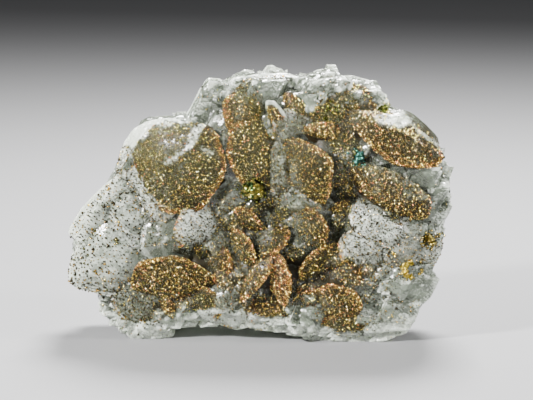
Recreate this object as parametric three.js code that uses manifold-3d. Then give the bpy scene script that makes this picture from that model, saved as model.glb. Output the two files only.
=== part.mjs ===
// A plate of calcite crowded with lens-shaped calcite crystals, with groups of chalcopyrite crystals on it.
// Millimetres, +Z up. The crystal face looks towards -Y and +X is on its right.
// The specimen stands on the two broken feet of its lower edge. The origin is on that surface,
// under the middle of the specimen.

import * as THREE from "three";
import { mergeVertices } from "three/addons/utils/BufferGeometryUtils.js";
import Module from "manifold-3d";

const wasm = await Module();
wasm.setup();

// Driving dimensions
const plateWidth = 95;
const plateTurn = -0.07; // how far the plate's left end stands back, per mm of width
const frontDepth = 8.0; // front of the plate's middle, ahead of its mid-plane
const backDepth = 13.5; // back of the plate's middle, behind its mid-plane
const frontEdge = 0.5; // where the broken edge begins, ahead of the mid-plane
const backEdge = 9.5; // where the broken edge ends, behind the mid-plane
const setForward = -2; // brings the middle of the whole specimen over the origin
const footHeight = 0; // everything below this is broken away flat
const smallestStep = 0.38; // edges and ledges smaller than this are smoothed away

// The plate's outline as [across, up], anticlockwise from the right-hand end, seen from the front.
const outline = [
  [47.2, 35.8], [47.5, 40.0], [46.0, 44.6], [43.6, 51.0], [39.8, 53.6], [36.3, 55.6], [32.8, 58.0],
  [29.3, 63.4], [24.3, 65.0], [20.5, 65.2], [18.8, 67.6], [15.3, 67.6], [11.8, 66.6], [6.1, 66.5],
  [2.6, 67.3], [-6.5, 66.0], [-9.0, 64.0], [-12.8, 62.6], [-13.5, 60.8], [-16.6, 57.6], [-17.7, 55.4],
  [-24.7, 55.0], [-29.6, 53.1], [-32.8, 50.6], [-35.9, 44.8], [-36.3, 41.1], [-39.9, 36.8],
  [-43.3, 32.4], [-45.8, 28.2], [-47.5, 24.6], [-47.4, 19.8], [-45.8, 12.0], [-39.9, 8.6],
  [-38.8, 4.0], [-35.2, 1.0], [-30.4, -1.0], [-26.1, -1.0], [-24.0, 1.2], [-21.2, 2.8], [-10.0, 3.6],
  [-5.8, 3.2], [1.2, 2.4], [6.8, 1.4], [11.8, 0.2], [18.8, -1.2], [26.5, -1.2], [32.1, 0.4],
  [37.0, 2.2], [38.4, 5.8], [42.6, 10.2], [42.3, 13.0], [44.7, 20.2], [46.5, 24.5], [46.5, 29.4],
];
const middle = [1, 33];

// Each crystal is a lens with a sharp rim and three low facets on each side. "at" is its middle as
// [across, ahead of the plate's face, up] and "size" its half length, half width and half thickness. "turn"
// is, in degrees: how far its front leans away from -Y, towards which side it leans (0 right, 90 up, seen from
// the front), and which way its length runs. "point" shapes the rim: 1.5 gives pointed ends, 2 an
// ellipse, 3 a squarer tablet.
const crystals = [
  { name: "left disc", at: [-19.9, 1.9, 45.4], size: [11.8, 11.4, 5.4], turn: [18, 170, 20], point: 2.3 },
  { name: "disc behind it", at: [-24.0, -1.3, 43.8], size: [12.8, 12.0, 6.0], turn: [22, 150, 40], point: 2.4 },
  { name: "tall middle lens", at: [-0.2, 0.9, 48.4], size: [9.8, 8.6, 4.0], turn: [22, 20, 97], point: 1.7 },
  { name: "gold-rimmed lens", at: [-2.6, 0.4, 59.2], size: [8.0, 6.4, 3.6], turn: [26, 40, 60], point: 1.8 },
  { name: "golden blade", at: [10.4, 1.4, 43.6], size: [10.0, 9.8, 3.9], turn: [34, 204, -66], point: 1.6 },
  { name: "upper right blade", at: [34.6, 2.1, 52.4], size: [12.8, 7.4, 4.2], turn: [28, 60, -24], point: 1.4 },
  { name: "lower right blade", at: [32.1, 2.1, 39.2], size: [12.2, 7.2, 4.2], turn: [34, 236, -33], point: 1.55 },
  { name: "crossed blade, left", at: [-4.8, 1.0, 24.2], size: [6.2, 5.2, 2.0], turn: [44, 205, -62], point: 1.5 },
  { name: "crossed blade, top", at: [3.0, 1.1, 27.0], size: [5.0, 4.4, 2.1], turn: [34, 120, 20], point: 1.5 },
  { name: "crossed blade, low", at: [-0.9, 1.8, 17.9], size: [7.8, 3.6, 1.9], turn: [50, 150, 60], point: 1.5 },
  { name: "crossed blade, right", at: [4.4, 1.7, 17.6], size: [7.2, 5.2, 2.0], turn: [44, 190, -77], point: 1.5 },
  { name: "small lens above them", at: [-3.5, 0.4, 31.4], size: [4.8, 4.0, 2.1], turn: [36, 242, -28], point: 1.7 },
  { name: "lens right of middle", at: [11.8, 1.1, 29.6], size: [6.8, 6.6, 2.8], turn: [38, 205, -66], point: 1.7 },
  { name: "bright-edged blade", at: [14.5, 1.2, 20.7], size: [6.0, 5.2, 2.2], turn: [42, 315, 45], point: 1.6 },
  { name: "gold chip", at: [9.6, 0.1, 17.6], size: [2.4, 1.6, 1.4], turn: [30, 180, 80], point: 1.4 },
  { name: "rose rod", at: [12.4, 0.4, 13.6], size: [3.8, 1.5, 1.2], turn: [34, 285, 12], point: 1.5 },
  { name: "lower right lens", at: [19.1, 1.2, 11.0], size: [7.0, 5.8, 2.6], turn: [34, 240, 25], point: 1.8 },
  { name: "lens at the foot", at: [21.6, 0.0, 4.6], size: [5.8, 4.2, 2.8], turn: [22, 260, -5], point: 2.0 },
  { name: "long brown blade", at: [-21.9, 1.6, 14.8], size: [11.2, 11.4, 3.2], turn: [36, 272, -4], point: 1.5 },
  { name: "olive cone", at: [-15.6, 0.0, 25.8], size: [2.6, 1.6, 1.8], turn: [30, 90, 80], point: 1.8 },
  { name: "brown patch", at: [-10.6, 0.2, 20.2], size: [5.0, 4.2, 2.4], turn: [28, 200, 70], point: 1.8 },
  { name: "speckled white lens", at: [-38.2, -0.4, 21.0], size: [10.2, 9.2, 5.2], turn: [12, 190, 60], point: 2.6 },
  { name: "white ridge", at: [-39.6, 0.7, 33.2], size: [11.4, 4.4, 5.0], turn: [22, 140, 49], point: 2.2 },
  { name: "speckled shoulder", at: [-31.4, -1.3, 33.9], size: [8.2, 6.8, 4.4], turn: [18, 60, -40], point: 2.0 },
  { name: "grey lens", at: [-15.1, 1.6, 29.8], size: [6.4, 6.0, 2.8], turn: [18, 330, 30], point: 2.3 },
  { name: "lens beside it", at: [-9.4, 0.0, 27.2], size: [5.0, 4.2, 2.4], turn: [22, 10, 80], point: 2.0 },
  { name: "lower left lens", at: [-29.9, -0.3, 10.8], size: [8.2, 7.0, 4.0], turn: [12, 200, 30], point: 2.2 },
  { name: "gold sliver", at: [-23.4, 0.5, 9.5], size: [3.8, 2.0, 1.9], turn: [38, 209, -61], point: 1.4 },
  { name: "red-arc lens", at: [-14.3, 0.4, 10.0], size: [5.8, 5.4, 2.6], turn: [34, 220, -50], point: 1.8 },
  { name: "dotted lens", at: [27.9, 0.3, 24.8], size: [8.0, 7.4, 3.8], turn: [16, 310, 40], point: 2.3 },
  { name: "grey facet", at: [31.1, -0.5, 31.2], size: [9.0, 6.2, 3.8], turn: [22, 60, -30], point: 2.2 },
  { name: "glassy right edge", at: [42.8, -0.7, 38.6], size: [9.6, 5.4, 4.8], turn: [25, 10, 84], point: 2.2 },
  { name: "white right lens", at: [37.6, -0.0, 25.7], size: [8.6, 7.4, 4.4], turn: [18, 340, -50], point: 2.4 },
  { name: "right shoulder", at: [37.2, -0.3, 14.7], size: [7.6, 6.4, 4.4], turn: [20, 350, 35], point: 2.3 },
  { name: "right foot lens", at: [31.2, -0.3, 6.9], size: [8.4, 6.4, 4.2], turn: [18, 280, 20], point: 2.2 },
  { name: "upper left block", at: [-12.2, -1.4, 59.0], size: [6.8, 5.4, 5.2], turn: [20, 130, 60], point: 2.8 },
  { name: "striated crown", at: [0.6, -1.7, 63.6], size: [9.2, 4.4, 5.0], turn: [30, 90, 8], point: 2.5 },
  { name: "ringed sliver", at: [4.6, 1.7, 57.2], size: [5.4, 2.6, 1.7], turn: [38, 208, -60], point: 2.0 },
  { name: "copper sliver", at: [8.6, 0.9, 59.6], size: [4.6, 2.8, 2.0], turn: [30, 200, -62], point: 1.6 },
  { name: "glassy dome", at: [16.4, -1.8, 62.0], size: [6.6, 5.6, 4.8], turn: [15, 90, 30], point: 2.4 },
  { name: "green-gold lens", at: [17.1, 0.4, 57.8], size: [4.8, 4.0, 2.8], turn: [12, 60, 0], point: 2.0 },
  { name: "brown lip", at: [15.9, 0.9, 53.7], size: [5.3, 3.3, 2.4], turn: [25, 280, -5], point: 1.5 },
  { name: "speckled crest", at: [23.0, -1.3, 60.4], size: [6.0, 5.0, 4.0], turn: [16, 70, -30], point: 2.2 },
  { name: "white knob", at: [28.4, -1.0, 60.8], size: [3.7, 3.2, 3.2], turn: [15, 45, 0], point: 2.2 },
  { name: "brown saddle", at: [23.0, -0.2, 55.8], size: [6.8, 5.4, 3.6], turn: [15, 80, 40], point: 2.0 },
  { name: "dusky shelf", at: [20.2, 0.5, 47.6], size: [7.6, 6.6, 3.2], turn: [12, 70, 20], point: 2.2 },
  { name: "golden strip", at: [19.6, 0.6, 34.5], size: [4.0, 1.9, 1.3], turn: [40, 300, 52], point: 1.5 },
  { name: "thin-rimmed lens", at: [25.4, -0.4, 34.4], size: [3.5, 2.4, 2.0], turn: [20, 30, 75], point: 1.6 },
  { name: "coppery patch", at: [21.4, 0.0, 19.2], size: [5.6, 4.6, 2.8], turn: [18, 120, 60], point: 2.0 },
  { name: "lens over the arch", at: [2.1, -0.4, 8.6], size: [9.0, 5.6, 3.4], turn: [15, 260, 5], point: 2.0 },
  { name: "grey lens over the arch", at: [-7.2, -0.3, 7.8], size: [6.8, 5.0, 3.0], turn: [12, 250, -10], point: 2.2 },
  { name: "grey hollow", at: [-6.8, 0.0, 36.4], size: [6.8, 5.2, 3.2], turn: [16, 300, 40], point: 2.4 },
  { name: "shelf under the golden blade", at: [12.0, 0.0, 35.6], size: [7.4, 4.6, 3.2], turn: [14, 250, -20], point: 2.3 },
  { name: "grey floor", at: [-21.0, -1.0, 27.0], size: [9.0, 6.6, 3.4], turn: [10, 80, 10], point: 2.6 },
  { name: "pale lens, lower right", at: [27.4, -0.9, 13.6], size: [7.0, 5.8, 3.4], turn: [16, 60, -35], point: 2.3 },
  { name: "white wedge", at: [9.2, -1.2, 5.6], size: [6.4, 4.4, 4.2], turn: [12, 285, -50], point: 2.0 },
  { name: "pale lens above the arch", at: [-8.6, -0.3, 12.6], size: [6.0, 4.4, 3.0], turn: [14, 100, 30], point: 2.2 },
  { name: "grey facet in the gap", at: [39.4, -0.0, 46.2], size: [7.2, 4.6, 3.4], turn: [16, 20, -30], point: 2.5 },
  { name: "left foot shoulder", at: [-35.6, -1.6, 7.6], size: [5.4, 4.8, 4.2], turn: [15, 215, 40], point: 2.6 },
  { name: "left foot", at: [-27.9, -1.6, 3.5], size: [6.4, 4.4, 5.2], turn: [14, 90, 0], point: 3.0 },
  { name: "grey saddle", at: [-8.2, 1.0, 49.6], size: [8.6, 4.8, 3.4], turn: [14, 150, 105], point: 2.4 },
  { name: "grey web", at: [5.6, 0.6, 44.6], size: [7.4, 4.6, 3.2], turn: [8, 0, 95], point: 2.3 },
  { name: "web over the blades", at: [8.2, 0.3, 53.6], size: [6.4, 5.2, 3.0], turn: [12, 300, 100], point: 2.3 },
];

// A chalcopyrite group is a heap of eight-faced crystals. Each is [across, back, up, radius] from the
// group's own place, and they are turned every way.
const groups = [
  {
    name: "chalcopyrite_cluster",
    at: [-1.4, -9.6, 39.2],
    bits: [
      [-1.7, -1.2, 0.1, 1.5], [-0.3, -1.6, 0.7, 1.5], [1.1, -1.5, 0.5, 1.5], [2.0, -1.0, -0.1, 1.4],
      [-0.9, -1.5, -0.9, 1.4], [0.5, -1.7, -0.7, 1.5], [1.5, -1.1, -1.0, 1.2], [0.1, 0.2, 0.1, 3.0],
      [-1.5, -0.4, 1.0, 1.2], [0.6, -0.7, 1.4, 1.2], [1.8, -0.3, 0.9, 1.2], [-2.2, -0.3, -0.7, 1.2],
    ],
  },
  {
    name: "chalcopyrite_on_top_edge",
    at: [30.8, -3.2, 58.6],
    bits: [[0, 0, 0, 1.6], [0.6, -0.9, 0.9, 1.3], [-0.7, -0.8, -0.7, 1.2], [0.9, -0.3, -0.6, 1.2]],
  },
  {
    name: "chalcopyrite_between_blades",
    at: [24.4, -10.7, 47.6],
    bits: [[0, 0, 0, 1.5], [0.5, -0.7, 0.9, 1.1], [-0.6, -0.7, -0.9, 1.1], [0.9, -0.5, 0, 1.0]],
  },
  {
    name: "chalcopyrite_ring",
    at: [37.6, -11.4, 19.4],
    bits: [
      [-1.7, 0.3, 0.6, 1.2], [-1.5, 0.1, -0.5, 1.1], [-0.9, 0, -1.4, 1.1], [0.1, 0.2, -1.8, 1.0],
      [-0.9, 0.3, 1.4, 1.1], [0.2, 0.4, 1.7, 0.9],
    ],
  },
  {
    name: "chalcopyrite_right_pair",
    at: [42.3, -8.6, 26.6],
    bits: [[0, 0, 0, 1.6], [0.9, -0.3, -0.9, 1.1]],
  },
];

const rad = THREE.MathUtils.degToRad;

// A closed three.js geometry as a solid that can be joined and cut.
function solidOf(geometry) {
  const bare = geometry.index ? geometry.toNonIndexed() : geometry.clone();
  bare.deleteAttribute("normal");
  bare.deleteAttribute("uv");
  const merged = mergeVertices(bare, 1e-4);
  return new wasm.Manifold(
    new wasm.Mesh({
      numProp: 3,
      vertProperties: new Float32Array(merged.attributes.position.array),
      triVerts: new Uint32Array(merged.index.array),
    }),
  );
}

function geometryOf(solid) {
  const mesh = solid.getMesh();
  const positions = new Float32Array(mesh.numVert * 3);
  for (let i = 0; i < mesh.numVert; i++)
    positions.set(mesh.vertProperties.subarray(i * mesh.numProp, i * mesh.numProp + 3), i * 3);
  const geometry = new THREE.BufferGeometry();
  geometry.setAttribute("position", new THREE.BufferAttribute(positions, 3));
  geometry.setIndex(new THREE.BufferAttribute(new Uint32Array(mesh.triVerts), 1));
  geometry.computeVertexNormals();
  return geometry;
}

// A closed shell from rings of equal length that run from the front pole to the back pole.
function shellOf(frontPole, rings, backPole) {
  const around = rings[0].length;
  const points = [frontPole, ...rings.flat(), backPole];
  const last = points.length - 1;
  const at = (ring, i) => 1 + ring * around + (i % around);
  const faces = [];
  for (let i = 0; i < around; i++) {
    faces.push(0, at(0, i), at(0, i + 1));
    faces.push(last, at(rings.length - 1, i + 1), at(rings.length - 1, i));
    for (let r = 0; r + 1 < rings.length; r++) {
      faces.push(at(r, i), at(r + 1, i), at(r + 1, i + 1));
      faces.push(at(r, i), at(r + 1, i + 1), at(r, i + 1));
    }
  }
  const geometry = new THREE.BufferGeometry();
  geometry.setAttribute("position", new THREE.Float32BufferAttribute(points.flat(), 3));
  geometry.setIndex(faces);
  return geometry;
}

// The plate's depth shifts towards the back at its left-hand end.
const midPlane = (across) => plateTurn * across;

// Slow swells that keep the plate's faces from being flat.
function swell(across, up) {
  return (
    0.9 * Math.sin(0.31 * across + 0.8) * Math.cos(0.27 * up) +
    0.6 * Math.sin(0.17 * across - 0.36 * up + 2.0)
  );
}

// How far out a point lies: 0 in the middle of the plate, 1 on its outline.
function shareAt(across, up) {
  const [x, z] = [across - middle[0], up - middle[1]];
  let reach = 0;
  outline.forEach(([px, pz], i) => {
    const [qx, qz] = outline[(i + 1) % outline.length];
    const [ax, az, bx, bz] = [px - middle[0], pz - middle[1], qx - middle[0], qz - middle[1]];
    const first = x * az - z * ax;
    const second = x * bz - z * bx;
    if (first > 0 === second > 0) return;
    const part = first / (first - second);
    const [cx, cz] = [ax + part * (bx - ax), az + part * (bz - az)];
    if (cx * x + cz * z > 0) reach = Math.max(reach, Math.hypot(cx, cz));
  });
  return reach ? Math.hypot(x, z) / reach : 0;
}

const domed = (share) => Math.sqrt(Math.max(0, 1 - share ** 4));
const frontAt = (share, across, up) =>
  midPlane(across) - frontEdge - (frontDepth - frontEdge + 0.7 * swell(across, up)) * domed(share);
const backAt = (share, across, up) =>
  midPlane(across) + backEdge + (backDepth - backEdge + 0.8 * swell(up, across)) * domed(share);
const waistAt = (share, across, up) => midPlane(across) + (backEdge - frontEdge) / 2 + swell(across, up);

// The plate: rings shrink from the outline to the middle of the front and of the back.
function plateShell() {
  const ring = (share, depthAt) =>
    outline.map(([edgeAcross, edgeUp]) => {
      const across = middle[0] + (edgeAcross - middle[0]) * share;
      const up = middle[1] + (edgeUp - middle[1]) * share;
      return [across, depthAt(share, across, up), up];
    });
  const rings = [
    ...[0.32, 0.65, 0.9].map((share) => ring(share, frontAt)),
    ring(0.97, waistAt),
    ...[0.93, 0.7].map((share) => ring(share, backAt)),
  ];
  const pole = (depthAt) => [middle[0], depthAt(0, ...middle), middle[1]];
  return shellOf(pole(frontAt), rings, pole(backAt));
}

// Calcite breaks into slanted blocks that all lie the same way. They cover the back in rows and stand out
// by turns. A row of smaller ones runs round the broken edge. The plate's outline cuts them off.
const blockStep = [17.5, 15.5]; // from block to block, across and up
const blockHalf = [11.4, 4.2, 9.8]; // half width, half depth and half height of a block
const blockSlant = 0.27; // how far a block's sides lean
const blockTurn = [0.1, 0.24, 0.12]; // how the blocks are turned, in radians
const edgeBlocks = 11;
const edgeBlockHalf = [3.6, 3.0, 3.8];

function block(half, size, place) {
  const box = new THREE.BoxGeometry(...half.map((side) => 2 * side * size));
  box.applyMatrix4(new THREE.Matrix4().makeShear(0, blockSlant, 0, 0, blockSlant, 0));
  box.rotateX(blockTurn[0]).rotateY(blockTurn[1]).rotateZ(blockTurn[2]);
  return solidOf(box.translate(...place));
}

function cleavageBlocks() {
  const found = [];
  for (let row = 0; row < 4; row++)
    for (let column = -3; column <= 3; column++) {
      const across = blockStep[0] * (column + 0.37 * (row % 2)) + 2.4 * Math.sin(3.1 * row + column);
      const up = 7.5 + blockStep[1] * row + 2.6 * Math.sin(1.9 * column + row);
      if (shareAt(across, up) > 0.93) continue;
      const size = 1 + 0.25 * Math.sin(4.7 * column + 2.9 * row);
      const proud = 1.6 * Math.sin(2.3 * column + 1.7 * row) - 4 * (size - 1);
      found.push(block(blockHalf, size, [across, midPlane(across) + backDepth - 2.8 + proud, up]));
    }
  for (let i = 0; i < edgeBlocks; i++) {
    const [edgeAcross, edgeUp] = outline[Math.round((i * outline.length) / edgeBlocks) % outline.length];
    const share = 0.93 + 0.02 * Math.sin(5.3 * i);
    const across = middle[0] + (edgeAcross - middle[0]) * share;
    const up = middle[1] + (edgeUp - middle[1]) * share;
    const depth = midPlane(across) + 3.4 + 3.6 * Math.sin(2.6 * i);
    found.push(block(edgeBlockHalf, 1 + 0.25 * Math.sin(3.7 * i), [across, depth, up]));
  }
  const corners = outline.filter((_, i) => i % 2 === 0);
  const shape = new THREE.Shape(corners.map(([across, up]) => new THREE.Vector2(across, up)));
  const prism = new THREE.ExtrudeGeometry(shape, { depth: 4 * backDepth, bevelEnabled: false });
  prism.rotateX(Math.PI / 2).translate(0, 3 * backDepth, 0);
  return wasm.Manifold.union(found).intersect(solidOf(prism));
}

// Long crystals have two faces that meet in a ridge, round ones are low and have three. Each face is flat to
// two thirds of the way out and then bends down to the sharp rim.
function lensDepth(reach, angle, faces) {
  const steepest = faces === 2 ? Math.abs(Math.sin(angle)) : Math.max(...[0, 120, 240].map((step) => Math.cos(angle - rad(step))));
  return faces === 2
    ? Math.min(1 - reach ** 1.3, 0.82 - 0.65 * reach * steepest)
    : Math.min(0.66 * (1 - reach ** 1.8), 0.62 - 0.24 * reach * steepest);
}

function lensShell({ size, point }, index) {
  const [length, width, thickness] = size;
  const faces = length > 1.35 * width ? 2 : 3;
  const small = length < 4;
  const around = small ? 6 : length < 8.5 ? (faces === 2 ? 8 : 9) : 12;
  const shares = length < 8.5 ? [0.62] : [0.42, 0.78];
  const rimAt = (angle) =>
    (Math.abs(Math.cos(angle)) ** point + Math.abs(Math.sin(angle)) ** point) ** (-1 / point) *
    (1 + 0.05 * Math.cos(3 * angle + 1.7 * index));
  const first = faces === 2 ? 0 : 1.7 * index; // where round the lens its first edge lies
  const ring = (share, side) =>
    Array.from({ length: around }, (_, i) => {
      const turn = (2 * Math.PI * i) / around;
      const reach = share * rimAt(first + turn);
      const depth = side ? side * lensDepth(share, turn + (faces === 2 ? 0 : Math.PI / 3), faces) : 0;
      return [length * reach * Math.cos(first + turn), width * reach * Math.sin(first + turn), thickness * depth];
    });
  const rings = [
    ...shares.map((share) => ring(share, 1)),
    ring(1, 0),
    ...shares.toReversed().map((share) => ring(share, -1)),
  ];
  const top = thickness * lensDepth(0, 0, faces);
  return shellOf([0, 0, top], rings, [0, 0, -top]);
}

// Stands a lens up so that its front looks towards -Y, then turns, leans and places it.
function placeLens(geometry, { at, turn }) {
  const [across, ahead, up] = at;
  const depth = frontAt(shareAt(across, up), across, up) - ahead;
  const [lean, towards, along] = turn.map(rad);
  const leanAxis = new THREE.Vector3(-Math.sin(towards), 0, Math.cos(towards));
  const stand = new THREE.Matrix4().makeRotationX(Math.PI / 2);
  const matrix = new THREE.Matrix4()
    .makeTranslation(across, depth, up)
    .multiply(new THREE.Matrix4().makeRotationAxis(leanAxis, lean))
    .multiply(new THREE.Matrix4().makeRotationY(-along))
    .multiply(stand);
  return geometry.applyMatrix4(matrix);
}

// A chalcopyrite group, with every crystal grown by "extra" to cut the pocket it sits in.
function groupSolid({ bits, at }, extra = 0) {
  const heap = bits.map(([across, back, up, radius], i) => {
    const crystal = new THREE.OctahedronGeometry(radius + extra);
    crystal.scale(1, 0.82, 1.12);
    crystal.rotateX(0.9 * i + 0.3);
    crystal.rotateZ(1.7 * i);
    crystal.translate(at[0] + across, at[1] + back, at[2] + up);
    return solidOf(crystal);
  });
  return wasm.Manifold.union(heap);
}

// The calcite: plate and lenses joined, broken off flat at the feet, with pockets for the chalcopyrite.
const pocketGap = 0.6;
const lenses = crystals.map((crystal, i) => solidOf(placeLens(lensShell(crystal, i), crystal)));
const ground = solidOf(
  new THREE.BoxGeometry(2 * plateWidth, 2 * plateWidth, plateWidth).translate(0, 0, footHeight - plateWidth / 2),
);
const pockets = groups.map((group) => groupSolid(group, pocketGap));
const calcite = wasm.Manifold.union([solidOf(plateShell()), ...lenses, cleavageBlocks()])
  .subtract(ground)
  .subtract(wasm.Manifold.union(pockets))
  .simplify(smallestStep)
  .decompose() // leaves out tiny hollows shut in between crystals
  .reduce((largest, next) => (next.volume() > largest.volume() ? next : largest));

const calciteFinish = new THREE.MeshStandardMaterial({ color: "#c9cac2", roughness: 0.35, metalness: 0 });
const chalcopyriteFinish = new THREE.MeshStandardMaterial({ color: "#b98a3c", roughness: 0.3, metalness: 1 });

const specimen = new THREE.Group();
function addPiece(name, solid, finish) {
  const piece = new THREE.Mesh(geometryOf(solid), finish);
  piece.name = name;
  piece.position.y = setForward;
  specimen.add(piece);
}
addPiece("calcite_plate", calcite, calciteFinish);
for (const group of groups) addPiece(group.name, groupSolid(group), chalcopyriteFinish);

export default specimen;
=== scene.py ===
"""A specimen of calcite with chalcopyrite: a broken plate crowded with lens-shaped calcite crystals, which
fine chalcopyrite has dusted olive, gold and rose, with a few coarser chalcopyrite groups among them."""

import math
from collections import namedtuple

import bpy
import numpy as np
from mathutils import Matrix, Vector


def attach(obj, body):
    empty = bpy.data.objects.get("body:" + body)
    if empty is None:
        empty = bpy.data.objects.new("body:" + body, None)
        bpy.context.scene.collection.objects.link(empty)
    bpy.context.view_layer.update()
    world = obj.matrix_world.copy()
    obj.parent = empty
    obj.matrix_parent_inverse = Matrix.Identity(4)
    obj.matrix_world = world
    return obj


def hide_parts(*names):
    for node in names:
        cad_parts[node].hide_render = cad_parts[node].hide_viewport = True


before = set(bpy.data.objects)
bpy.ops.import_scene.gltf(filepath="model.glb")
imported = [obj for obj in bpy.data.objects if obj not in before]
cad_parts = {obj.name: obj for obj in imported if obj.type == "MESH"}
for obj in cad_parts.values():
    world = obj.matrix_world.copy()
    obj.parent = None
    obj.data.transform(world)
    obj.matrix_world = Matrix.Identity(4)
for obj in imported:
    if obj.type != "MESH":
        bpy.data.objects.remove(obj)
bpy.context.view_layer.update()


# The plate of calcite. It is what is left of a vein wall: its edge is broken all round, its lower edge
# stands on two broken feet with a low arch between them, and its face is a crust of small crystals.
# Sizes are in millimetres until a mesh is made.
outline = np.array([
    [47.2, 35.8], [47.5, 40.0], [46.0, 44.6], [43.6, 51.0], [39.8, 53.6], [36.3, 55.6], [32.8, 58.0],
    [29.3, 63.4], [24.3, 65.0], [20.5, 65.2], [18.8, 67.6], [15.3, 67.6], [11.8, 66.6], [6.1, 66.5],
    [2.6, 67.3], [-6.5, 66.0], [-9.0, 64.0], [-12.8, 62.6], [-13.5, 60.8], [-16.6, 57.6], [-17.7, 55.4],
    [-24.7, 55.0], [-29.6, 53.1], [-32.8, 50.6], [-35.9, 44.8], [-36.3, 41.1], [-39.9, 36.8],
    [-43.3, 32.4], [-45.8, 28.2], [-47.5, 24.6], [-47.4, 19.8], [-45.8, 12.0], [-39.9, 8.6],
    [-38.8, 4.0], [-35.2, 1.0], [-30.4, -1.0], [-26.1, -1.0], [-24.0, 1.2], [-21.2, 2.8], [-10.0, 3.6],
    [-5.8, 3.2], [1.2, 2.4], [6.8, 1.4], [11.8, 0.2], [18.8, -1.2], [26.5, -1.2], [32.1, 0.4],
    [37.0, 2.2], [38.4, 5.8], [42.6, 10.2], [42.3, 13.0], [44.7, 20.2], [46.5, 24.5], [46.5, 29.4],
])
middle = np.array([1.0, 33.0])
plate_depth, plate_turn = -2.0, -0.07  # depth of the mid-plane at x = 0, and its change per mm to the right
front_depth, back_depth = 8.0, 13.5  # from the mid-plane to the middle of the face and of the back
front_edge, back_edge = 0.5, 9.5  # from the mid-plane to the edges of the face and of the back
face_end = 0.93  # where those edges lie, as a share of the way to the outline
seeds = np.random.default_rng(417)
lattice = seeds.uniform(-1, 1, (32, 32, 32))


def noise(points, size, shift=0):
    """Smooth random values from -1 to 1: random numbers on a cubic lattice, blended between the eight
    corners round each point with the curve 3f^2 - 2f^3."""
    place = np.asarray(points) / size + 17.3 * shift + 1000
    corner = np.floor(place).astype(int)
    part = place - corner
    part = part * part * (3 - 2 * part)
    total = 0
    for step in np.ndindex(2, 2, 2):
        weight = np.prod(np.where(step, part, 1 - part), axis=-1)
        x, y, z = np.moveaxis((corner + step) % 32, -1, 0)
        total = total + weight * lattice[x, y, z]
    return total


def smooth_step(low, high, value):
    """0 below low, 1 above high, and 3f^2 - 2f^3 of the fraction f between them."""
    f = np.clip((value - low) / (high - low), 0, 1)
    return f * f * (3 - 2 * f)


def outline_reach(angle):
    """The distance from the plate's middle to its outline at an angle: where the ray meets the farthest
    side of the outline, from the cross products of the ray with the side's two ends."""
    ray = np.stack([np.cos(angle), np.sin(angle)], -1)[..., None, :]
    a = outline - middle
    b = np.roll(a, -1, axis=0)
    first = ray[..., 0] * a[:, 1] - ray[..., 1] * a[:, 0]
    second = ray[..., 0] * b[:, 1] - ray[..., 1] * b[:, 0]
    part = np.where(first != second, first / np.where(first == second, 1, first - second), 0)
    meet = a + part[..., None] * (b - a)
    along = np.sum(meet * ray, -1)
    return np.max(np.where((first > 0) != (second > 0), along, 0), axis=-1)


def share_at(across, up):
    """How far out a point lies: 0 in the middle of the plate, 1 on its outline."""
    x, z = across - middle[0], up - middle[1]
    return np.hypot(x, z) / outline_reach(np.arctan2(z, x))


def place_at(share, angle):
    """The place (across, up) that lies so far out at an angle."""
    return middle + share * outline_reach(np.array(angle)) * np.array([math.cos(angle), math.sin(angle)])


def low_edge_at(across):
    """Height of the outline's lower edge, which runs over both feet and the arch."""
    return np.interp(across, *outline[34:48].T)


def mid_plane(across):
    """Depth of the plane through the middle of the plate."""
    return plate_depth + plate_turn * across


def swell(across, up):
    """Slow waves, from products of sines."""
    return (0.9 * np.sin(0.31 * across + 0.8) * np.cos(0.27 * up)
            + 0.6 * np.sin(0.17 * across - 0.36 * up + 2.0))


def domed(share):
    """The square root of 1 - share^4: flat in the middle and steep at the edge."""
    return np.sqrt(np.maximum(0, 1 - share ** 4))


def front_at(share, across, up):
    """Depth of the plate's face: the mid-plane, less the edge's depth and the dome over it."""
    rise = front_depth - front_edge + 0.7 * swell(across, up)
    return mid_plane(across) - front_edge - rise * domed(share)


def back_at(share, across, up):
    """Depth of the plate's back, the same way behind the mid-plane."""
    rise = back_depth - back_edge + 0.8 * swell(up, across)
    return mid_plane(across) + back_edge + rise * domed(share)


def crust(across, up, size, shift):
    """Small crystals as a height: round each point of a jittered square lattice stands a low roof, tilted
    its own way, and each place takes the highest roof of the nine lattice squares round it."""
    column, row = np.floor(across / size), np.floor(up / size)
    best = np.full(np.shape(across), -9.0)
    for step_x, step_z in np.ndindex(3, 3):
        x, z = (column + step_x - 1).astype(int), (row + step_z - 1).astype(int)
        shift_x, shift_z, tilt_x, tilt_z = (
            lattice[(x + 7 * k + shift) % 32, (z + 11 * k) % 32, (3 * k + shift) % 32] for k in range(4))
        dx = across / size - (x + 0.5 + 0.45 * shift_x)
        dz = up / size - (z + 0.5 + 0.45 * shift_z)
        ridge = np.abs(dx * np.cos(3 * tilt_x) + dz * np.sin(3 * tilt_x))
        roof = 0.4 * tilt_z + 0.35 * (dx * tilt_x + dz * tilt_z) - 0.55 * ridge - 0.5 * (dx * dx + dz * dz)
        best = np.maximum(best, roof)
    return best * size


def turned(x, y, z):
    """The matrix that turns by x round X, then y round Y, then z round Z."""
    cx, sx, cy, sy, cz, sz = (f(v) for v in (x, y, z) for f in (math.cos, math.sin))
    return (np.array([[cz, -sz, 0], [sz, cz, 0], [0, 0, 1]])
            @ np.array([[cy, 0, sy], [0, 1, 0], [-sy, 0, cy]])
            @ np.array([[1, 0, 0], [0, cx, -sx], [0, sx, cx]]))


slant = 0.27  # how far the sides of a cleavage block lean
cleavage = turned(0.1, 0.24, 0.12) @ np.array([[1, 0, slant], [0, 1, 0], [slant, 0, 1]])
treads = np.cumsum(seeds.uniform(0.35, 1.9, 500))  # where the steps of a broken surface begin


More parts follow.
